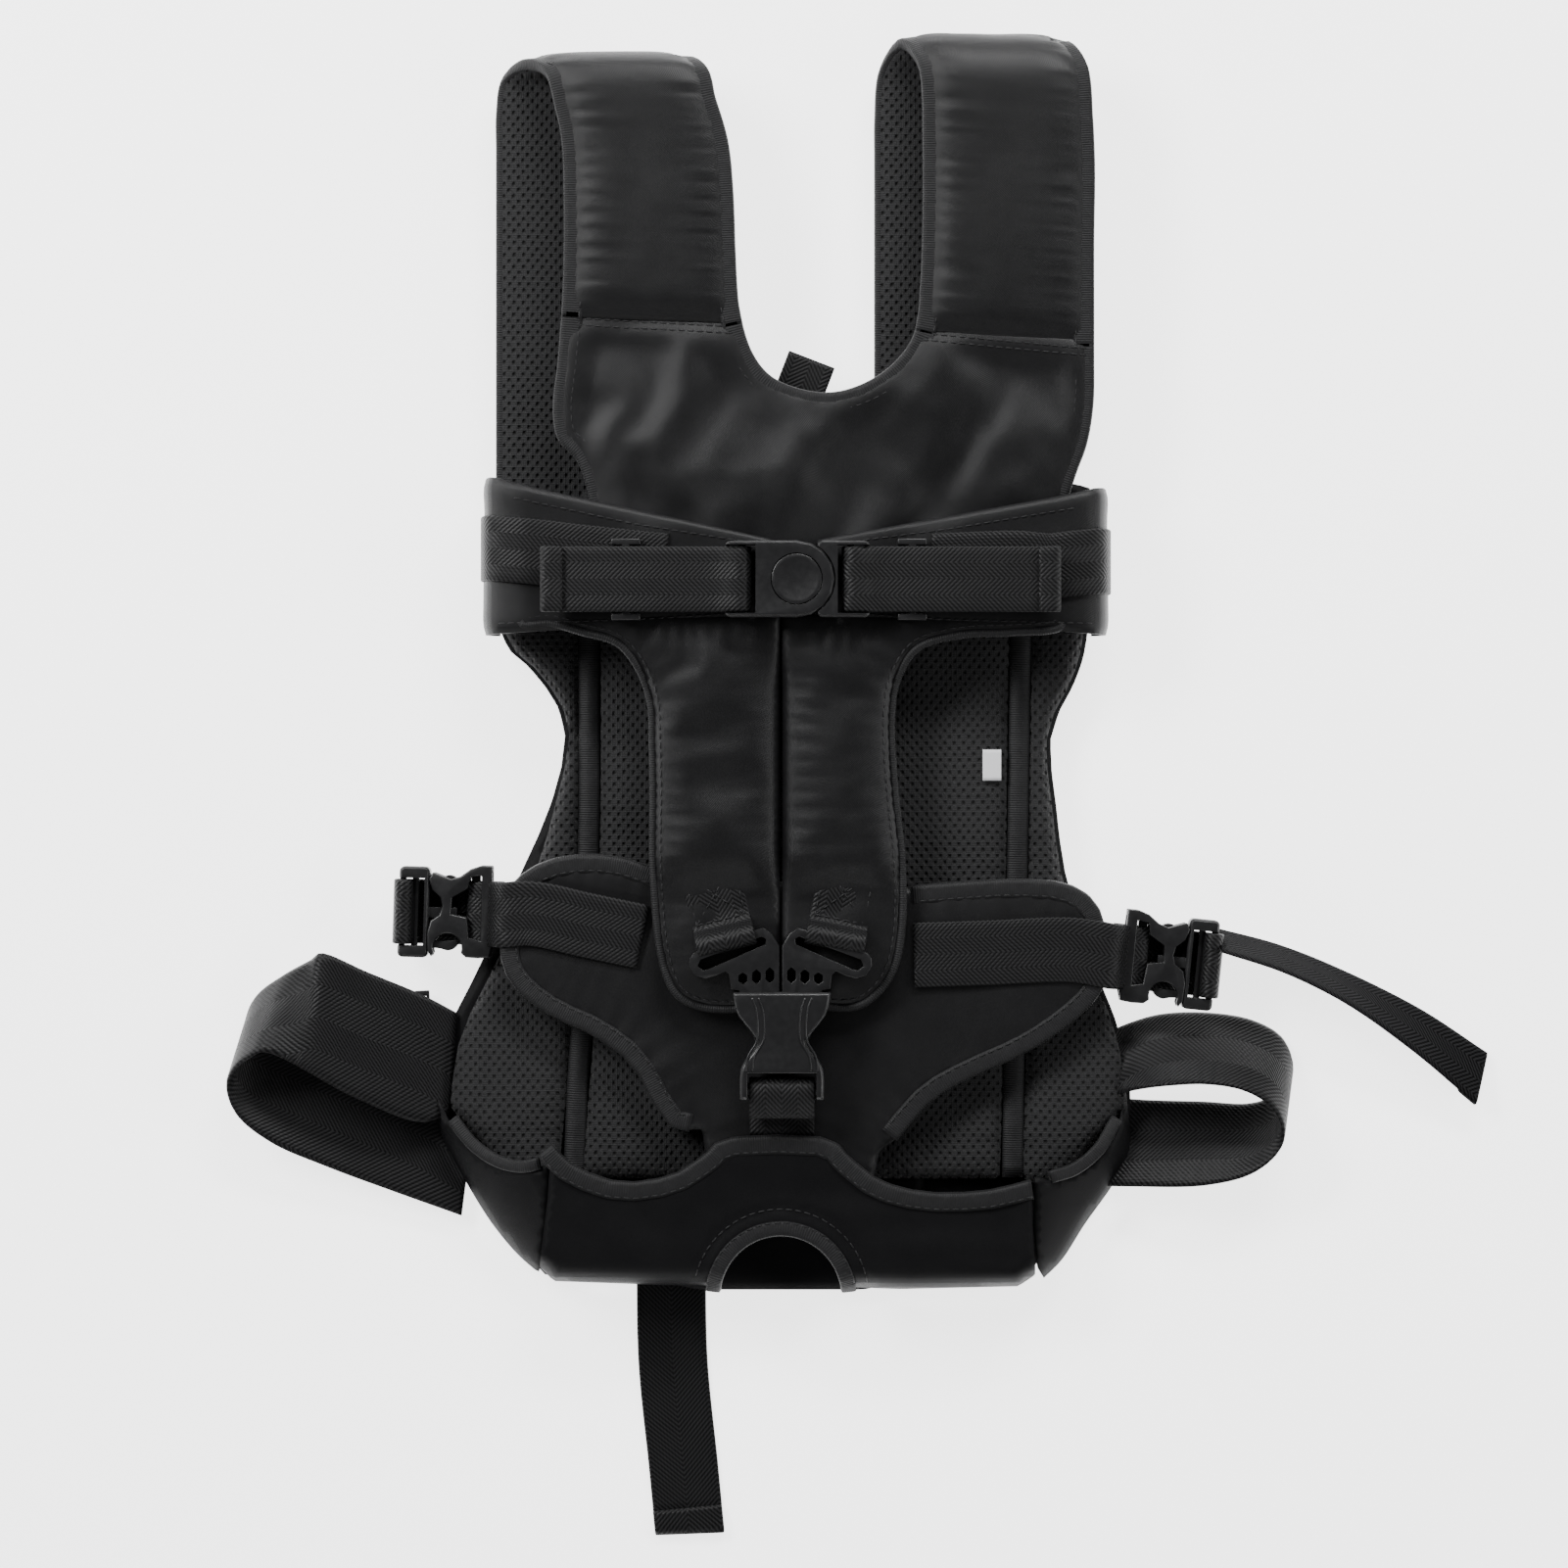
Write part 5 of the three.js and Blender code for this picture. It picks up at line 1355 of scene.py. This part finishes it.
# %% Straps at the buckles
Z_TAB = high("strap_tab_left")[2] - WEB_T / 2 + 0.7
Z_TONGUE = centre_of("crotch_tongue_left")[2]
for node, x, y, lean, reach in (("strap_tab_left", -29.3, -57.5, 0.24, 18.2),
                                ("strap_tab_right", 20.4, -57.2, -0.2, 17.6)):
    ahead = np.array([-math.sin(lean), math.cos(lean), 0])
    aside = np.array([math.cos(lean), math.sin(lean), 0])
    c = np.array([x, y, 0])

    def p(down, z):
        return c - ahead * down + np.array([0, 0, z])

    strap(f"{node}_strap", [
        p(-13, Z_TAB), p(0, Z_TAB), p(9, Z_TAB), p(12.5, Z_TAB + 1.2), p(reach - 2.6, Z_TONGUE + 3.4),
        p(reach, Z_TONGUE + 4.4), p(reach + 2.6, Z_TONGUE + 3.2), p(reach + 3.4, Z_TONGUE),
        p(reach + 2.2, Z_TONGUE - 3.6), p(reach - 2, Z_TONGUE - 4.6), p(reach - 6, Z_TAB - 0.4)], aside,
        width=23, stands_for=[node])
    corners = [c + ahead * (10 * j) + aside * (9.5 * i) for i, j in ((-1, -1), (1, -1), (1, 1), (-1, 1))]
    stitches(f"{node}_stitches", [corners + corners[:1], [corners[0], corners[2]], [corners[1], corners[3]]],
             look_up(f"{node}_strap"))
x_crotch = centre_of("crotch_webbing")[0]
strap("crotch_webbing_strap", upright("crotch_webbing", high("crotch_webbing")[2] - 0.7)[::-1], (1, 0, 0),
      smooth=False, stands_for=["crotch_webbing"])


def crotch_strap_route():
    bar_y = low("crotch_buckle_housing")[1] + 5.0
    z = centre_of("crotch_buckle_housing")[2]
    z_low = low("crotch_strap")[2] + 0.7 - z
    turns = [(-12, z_low), (-8, z_low), (-3.6, -3.2), (0, -2.7), (2.7, -1.1), (2.7, 1.1), (0, 2.7), (-3, 2.9),
             (-6.4, 2.5), (-12, 0.6)]
    return [(x_crotch, bar_y + y, z + dz) for y, dz in turns]


strap("crotch_strap_web", crotch_strap_route(), (1, 0, 0), body="crotch_housing", facing=(0, 0, -1),
      stands_for=["crotch_strap"])


CHEST_BARS = (2, 20.6)


def belt_strap(side, s, body):
    """From under the adjuster, round the buckle's bar and back over the top to a folded hem."""
    node = f"belt_strap_{side}"
    y = centre_of(node)[1]
    z_under, z_bar = low(node)[2] + 0.7, centre_of("chest_buckle_body")[2]
    z_over = high(f"adjuster_{side}")[2] + 1.0
    bar = CHEST_BARS[0] + s * CHEST_BARS[1]
    glide_x = centre_of(f"adjuster_{side}")[0]
    tail = low(node)[0] + 4.5 if s < 0 else high(node)[0] - 4.5
    wrap = 2.55
    route = [
        (glide_x + s * 11, z_under), (bar + s * 9, z_under), (bar + s * 3.5, z_bar - 2.9), (bar, z_bar - 3.1),
        (bar - s * wrap, z_bar - 1.2), (bar - s * wrap, z_bar + 1.2), (bar, z_bar + 3.1),
        (bar + s * 3.5, z_bar + 2.9), (bar + s * 10, z_over), ((bar + tail) / 2, z_over + 0.4),
        (tail, z_over), (tail + s * 3.2, z_over + 0.1), (tail + s * 4.2, z_over + 0.9),
        (tail + s * 3.2, z_over + 1.7), (tail - s * 4, z_over + 1.6)]
    strap(f"{node}_web", [(x, y, z) for x, z in route], (0, 1, 0), body=body, facing=(0, 0, -1), stands_for=[node])
    print(side, "belt strap shows", round(abs(tail - bar)), "mm")


belt_strap("left", -1, "vest")
belt_strap("right", 1, "chest_tongue")

# %% [markdown]
# **Waist and hip straps.** A waist strap is sewn along the wing and wraps the near bar of the hip buckle; the hip
# strap starts at the far bar, under the buckle. Each buckle has its own direction, so the routes are drawn along
# the buckle and turned into place by it.

# %% Waist and hip straps
HIP_BUCKLES = {"left": ((-115.5, -65.5), math.pi - 0.03), "right": ((128, -82), -0.1)}
near_bar, far_bar = 6.6, 29.9
r, h = 2.45, 2.5
z_sewn = crotch_z + 1.0
for side, sewn, edge_at in (("left", (-57, -74), (-100, -65)), ("right", (47, -81), (108, -79))):
    origin, turn = HIP_BUCKLES[side]
    z_bar = centre_of(f"hip_buckle_{side}_housing")[2]
    ahead = np.array([math.cos(turn), math.sin(turn)])
    aside = (-ahead[1], ahead[0], 0)

    def p(x, z):
        return *(np.array(origin) + ahead * x), z_bar + z

    strap(f"waist_strap_{side}_web", [
        (*sewn, z_sewn + 0.4), ((sewn[0] + edge_at[0]) / 2, (sewn[1] + edge_at[1]) / 2, z_sewn + 0.5),
        (*edge_at, z_sewn + 0.3), p(-4.5, z_sewn - z_bar), p(-2.2, z_sewn - z_bar - 1.6), p(0.6, 5.4),
        p(near_bar - 3.4, 3.4), p(near_bar, h), p(near_bar + r * 0.95, h * 0.72), p(near_bar + r * 1.05, 0),
        p(near_bar + r * 0.95, -h * 0.72), p(near_bar, -h), p(near_bar - 5, -3), p(near_bar - 9, -1)],
        aside, stands_for=[f"waist_strap_{side}"])
    z_low = low(f"hip_strap_{side}")[2] + 0.7 - z_bar
    strap(f"hip_strap_{side}_web", [
        p(-4, z_low), p(far_bar, z_low), p(far_bar + 5.4, z_low + 0.5), p(far_bar + 7.4, -3.4),
        p(far_bar + 7.6, 2), p(far_bar + 6.2, 5.4), p(far_bar + 4.2, 6.1), p(far_bar + 2.2, 5.2),
        p(far_bar + 1.4, 2), p(far_bar + 1.6, -3.4)],
        aside, body=f"hip_{side}", facing=(0, 0, -1), stands_for=[f"hip_strap_{side}"])
    print(side, "hip buckle's bars are", round(far_bar - near_bar, 1), "mm apart")

# %% [markdown]
# ## Leg loops and tails
# The leg loops are wide webbing that has sprung up on its edge, so each is a band between an edge on the floor and
# an edge in the air. The free tails end in folded hems.

# %% Leg loops
LEG_LOOPS = {
    "right": (
        [(122, -112, 6.5), (131, -108.5, 2), (144, -105, 1), (163, -104.5, 1), (180, -107.5, 1), (191, -114, 1),
         (195, -124, 1), (192, -134, 1), (180, -139.5, 1), (160, -139, 1), (133, -138, 1.5), (118, -136, 4)],
        [(122, -137, 9), (133, -133, 20), (146, -131, 25), (160, -130.5, 26), (174, -133, 26), (184, -139, 25),
         (189, -148, 23), (188, -156, 21), (178, -165, 20), (160, -170, 18), (130, -171, 12), (114, -171, 8)]),
    "left": (
        [(-130, -104, 6.5), (-143, -97, 9), (-164, -88, 13), (-181.5, -80.5, 17), (-185, -83, 14), (-196, -89, 9),
         (-208, -98, 3), (-211, -107, 1), (-204, -113, 1), (-190, -119, 1), (-166, -129, 1), (-145, -138, 1),
         (-124, -150, 1.5)],
        [(-132, -143, 8), (-143, -146, 14), (-168, -136, 21), (-202.5, -118, 27), (-208, -120.5, 26),
         (-214, -125, 23), (-217.5, -132, 19), (-214, -143, 16), (-201, -154, 13), (-180, -163.5, 10),
         (-154, -173.5, 7), (-128, -183, 5)])}


def leg_over(gap, along, share):
    """Half the webbing's thickness, thinner at its very edge."""
    return np.full(gap.shape, 0.75) - 0.5 * np.exp(-gap / 0.4)


for side, (floor_edge, air_edge) in LEG_LOOPS.items():
    band(f"leg_loop_{side}_web", floor_edge, air_edge, leg_over, leg_over, leg_web, "webbing", cells=24,
         facing=(0, 1, 0.3), stands_for=[f"leg_loop_{side}"])
    print(side, "leg loop's edge is", round(lengths(bands[f"leg_loop_{side}_web"]["a"], False).sum()), "mm long")

# %% Tails
HEM = 8.0


def hemmed(gap, along, share):
    """The same webbing, with its last few millimetres folded back on it."""
    return leg_over(gap, along, share) + 1.2 * (along > along.max() - HEM)


z_floor = low("foot_tail")[2] + WEB_T / 2
strap("foot_tail_web", [
    (-46.8, -196, z_floor), (-46, -240, z_floor), (-42, -280, z_floor), (-39.8, -303, z_floor),
    (-39.5, -306, z_floor + 0.1), (-39.4, -307, z_floor + 0.9), (-39.5, -306, z_floor + 1.7),
    (-40.4, -297, z_floor + 1.5)], (1, 0, 0), leg_web, body="foot_tail", width=27, stands_for=["foot_tail"])
band("hip_tail_right_web", [
    (165.4, -71.5, 1), (190, -78, 1), (215, -88, 1), (245, -103, 1), (271, -120, 1)],
    [(165.8, -80, 24), (190, -88, 23), (214, -100, 20), (241, -119, 14), (265.5, -139.5, 8)],
    hemmed, leg_over, tail_web, "webbing", cells=16, facing=(0, -1, 0.5), body="hip_right_tail",
    stands_for=["hip_tail_right"])
print("hip tail is", round(lengths(bands["hip_tail_right_web"]["a"], False).sum()), "mm long")

# %% [markdown]
# ## Buckles
# The crotch tongue is in two halves. Each has an ear with a slot for its strap, a row of six-sided windows, and a
# blade that goes down into the housing. The hip buckles have deep round notches where fingers squeeze the prongs.

# %% Crotch tongues
TONGUE_HALF = [
    (-4.7, -113.4), (-4.7, -77), (-5.7, -75.3), (-7.5, -72.4), (-10.7, -70.2), (-13.6, -71), (-25.5, -75.4),
    (-37.2, -79.8), (-38.7, -81.8), (-38.9, -84.6), (-36.7, -88.2), (-32.8, -89.4), (-28.8, -88.3), (-25.2, -86.6),
    (-23.7, -87.8), (-23, -93.4), (-19.8, -94), (-19.8, -101), (-13.6, -101), (-13.6, -99.6), (-11.4, -99.6),
    (-11.4, -113.4)]
TONGUE_SLOT = [(-34.6, -82.2), (-35.8, -84.8), (-33.6, -86.4), (-31.4, -85.9), (-9.9, -76.4), (-9.6, -74.4),
               (-11.2, -73.4)]
WINDOWS = [(-18.5, -89.4, 4.6), (-13.3, -88.7, 5.6), (-8.2, -88.2, 6.2)]
TONGUE_MIRROR = -4.1
z_tongue = low("crotch_tongue_left")[2] + 0.3, high("crotch_tongue_left")[2] - 0.3


def six_sided(x, y, tall, wide=3.3):
    return [(x, y + tall / 2), (x - wide / 2, y + tall / 4), (x - wide / 2, y - tall / 4), (x, y - tall / 2),
            (x + wide / 2, y - tall / 4), (x + wide / 2, y + tall / 4)]


for side in ("left", "right"):
    outline, *windows = [
        ring if side == "left" else [(2 * TONGUE_MIRROR - x, y) for x, y in ring]
        for ring in (TONGUE_HALF, TONGUE_SLOT, *(six_sided(*w) for w in WINDOWS))]
    plate(f"crotch_tongue_{side}_moulding", outline, *z_tongue, windows, stands_for=[f"crotch_tongue_{side}"])
print("the tongue's ears are", round(2 * (TONGUE_MIRROR - min(x for x, _ in TONGUE_HALF)), 1), "mm across")

# %% [markdown]
# **Ribs.** Two curved ridges on each side of the housing give the fingers a hold. Each is a thin round cord that is
# half sunk in the face, drawn in shares of the housing's own width and length.

# %% Ribs on the crotch housing
z_rib = high("crotch_buckle_housing")[2] - 0.1
RIB = [(0.48, 1.0), (0.40, 0.9), (0.36, 0.75), (0.38, 0.6), (0.56, 0.45), (0.6, 0.32)]
wide, tall, _ = size_of("crotch_buckle_housing")
for side, sign in (("left", -1), ("right", 1)):
    for k, drift in enumerate((0.0, 0.13)):
        rib = [(centre_of("crotch_buckle_housing")[0] + sign * (share + drift) * wide / 2,
                low("crotch_buckle_housing")[1] + up * tall - 2, z_rib) for share, up in RIB]
        sweep(f"crotch_rib_{side}_{k}", curve(rib, 0.8), (1, 0, 0), cord_section(0.45, 8), plastic,
              "buckle_plastic", body="crotch_housing")
print("the crotch housing is", round(wide), "by", round(tall), "mm")

# %% [markdown]
# **Hip housings.** The frame has a plain box here, and the real cover has deep notches and a window. So a cover and
# a floor are cut from the same outline, and three thin walls stand between them and leave the ends open. In the
# outlines the first number runs out from the vest along the strap, and the second runs up the vest.

# %% Hip housings
HIP_HALF = [
    (0.2, 18.6), (4.5, 18.6), (8.5, 17.2), (12.5, 14.2), (16, 13), (19.5, 14.2), (23.2, 15.6), (24.6, 13),
    (23.2, 8.8), (20, 6), (19.2, 2.5), (20.2, -0.8), (23.6, -3.2), (24.8, -8), (24.5, -14.5), (22.9, -17.2),
    *round_hole(16.8, -13.5, 5.6, -0.35, math.pi + 0.35, 14), (9.5, -17.0), (5, -17.2), (0.6, -16.8),
    (-0.4, -13), (-0.3, 0), (0, 14)]
HIP_WINDOW = [(4.2, 14.8), (8.6, 14.2), (9.4, 9.5), (15.4, 6), (15.8, -0.5), (9.4, -1.5), (8.6, -9.5), (4.2, -10.5)]
HIP_COVER_T, HIP_FLOOR_T, HIP_BAR_GAP = 2.6, 2.4, 3.6
HIP_WALLS = [
    ([(0, 18.2), (8.5, 17.2), (12.5, 14.2), (11.5, 12.6), (7.5, 15.4), (0, 16.2)], HIP_FLOOR_T),
    ([(0.4, -14.6), (8.5, -14.8), (9.5, -17), (0.4, -16.8)], HIP_FLOOR_T),
    ([(4.9, 15.4), (8.3, 15.4), (8.3, -15), (4.9, -15)], HIP_BAR_GAP)]


def placed(ring, origin, turn):
    out = np.array([math.cos(turn), math.sin(turn)])
    up = np.array([abs(out[1]) * (-1 if out[0] * out[1] > 0 else 1), abs(out[0])])
    return [tuple(np.array(origin) + out * u + up * v) for u, v in ring]


for side, spot in HIP_BUCKLES.items():
    node = f"hip_buckle_{side}_housing"
    z0, z1 = low(node)[2], high(node)[2]
    outline, window = placed(HIP_HALF, *spot), placed(HIP_WINDOW, *spot)
    plate(f"{node}_cover", outline, z1 - HIP_COVER_T, z1, [window], bevel=0.8, stands_for=[node])
    plate(f"{node}_floor", outline, z0, z0 + HIP_FLOOR_T, [window], bevel=0.8)
    for k, (wall, gap) in enumerate(HIP_WALLS):
        plate(f"{node}_wall_{k}", placed(wall, *spot), z0 + gap, z1 - gap, bevel=0.3)
    print(side, "hip housing is", round(z1 - z0, 1), "mm thick")

# %% [markdown]
# **The other mouldings.** The bodies, bases, prongs, button and adjusters are already right in the frame. Each only
# needs its small rounds, so one loop makes them all.

# %% Every other moulding
DRAWN_HERE = ("left_housing", "right_housing", "spring")
mouldings = [
    moulded(node) for node in body_of_node
    if any(word in node for word in ("buckle", "adjuster", "prong", "chest_button"))
    and not node.endswith(DRAWN_HERE)]
print("rounded mouldings:", len(mouldings))

# %% [markdown]
# **The button's spring.** A wire coil stands under the press button.

# %% The button's spring
s_low, s_high = low("chest_button_spring"), high("chest_button_spring")
WIRE_R = 0.35
TURNS = 3.5
coil_r = (s_high[0] - s_low[0]) / 2 - WIRE_R
turn = np.linspace(0, TURNS * 2 * math.pi, 120)
radial = np.column_stack([np.cos(turn), np.sin(turn), np.zeros(len(turn))])
centre = centre_of("chest_button_spring")
coil = radial * coil_r + np.array([centre[0], centre[1], 0])
coil[:, 2] = np.linspace(s_low[2] + WIRE_R, s_high[2] - WIRE_R, len(turn))
spring = sweep("chest_button_coil", coil, radial, cord_section(WIRE_R, 8), steel, "spring_steel",
               body=body_of_node["chest_button_spring"], stands_for=["chest_button_spring"])
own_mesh(spring)
print("the spring is", round(s_high[2] - s_low[2], 1), "mm tall")
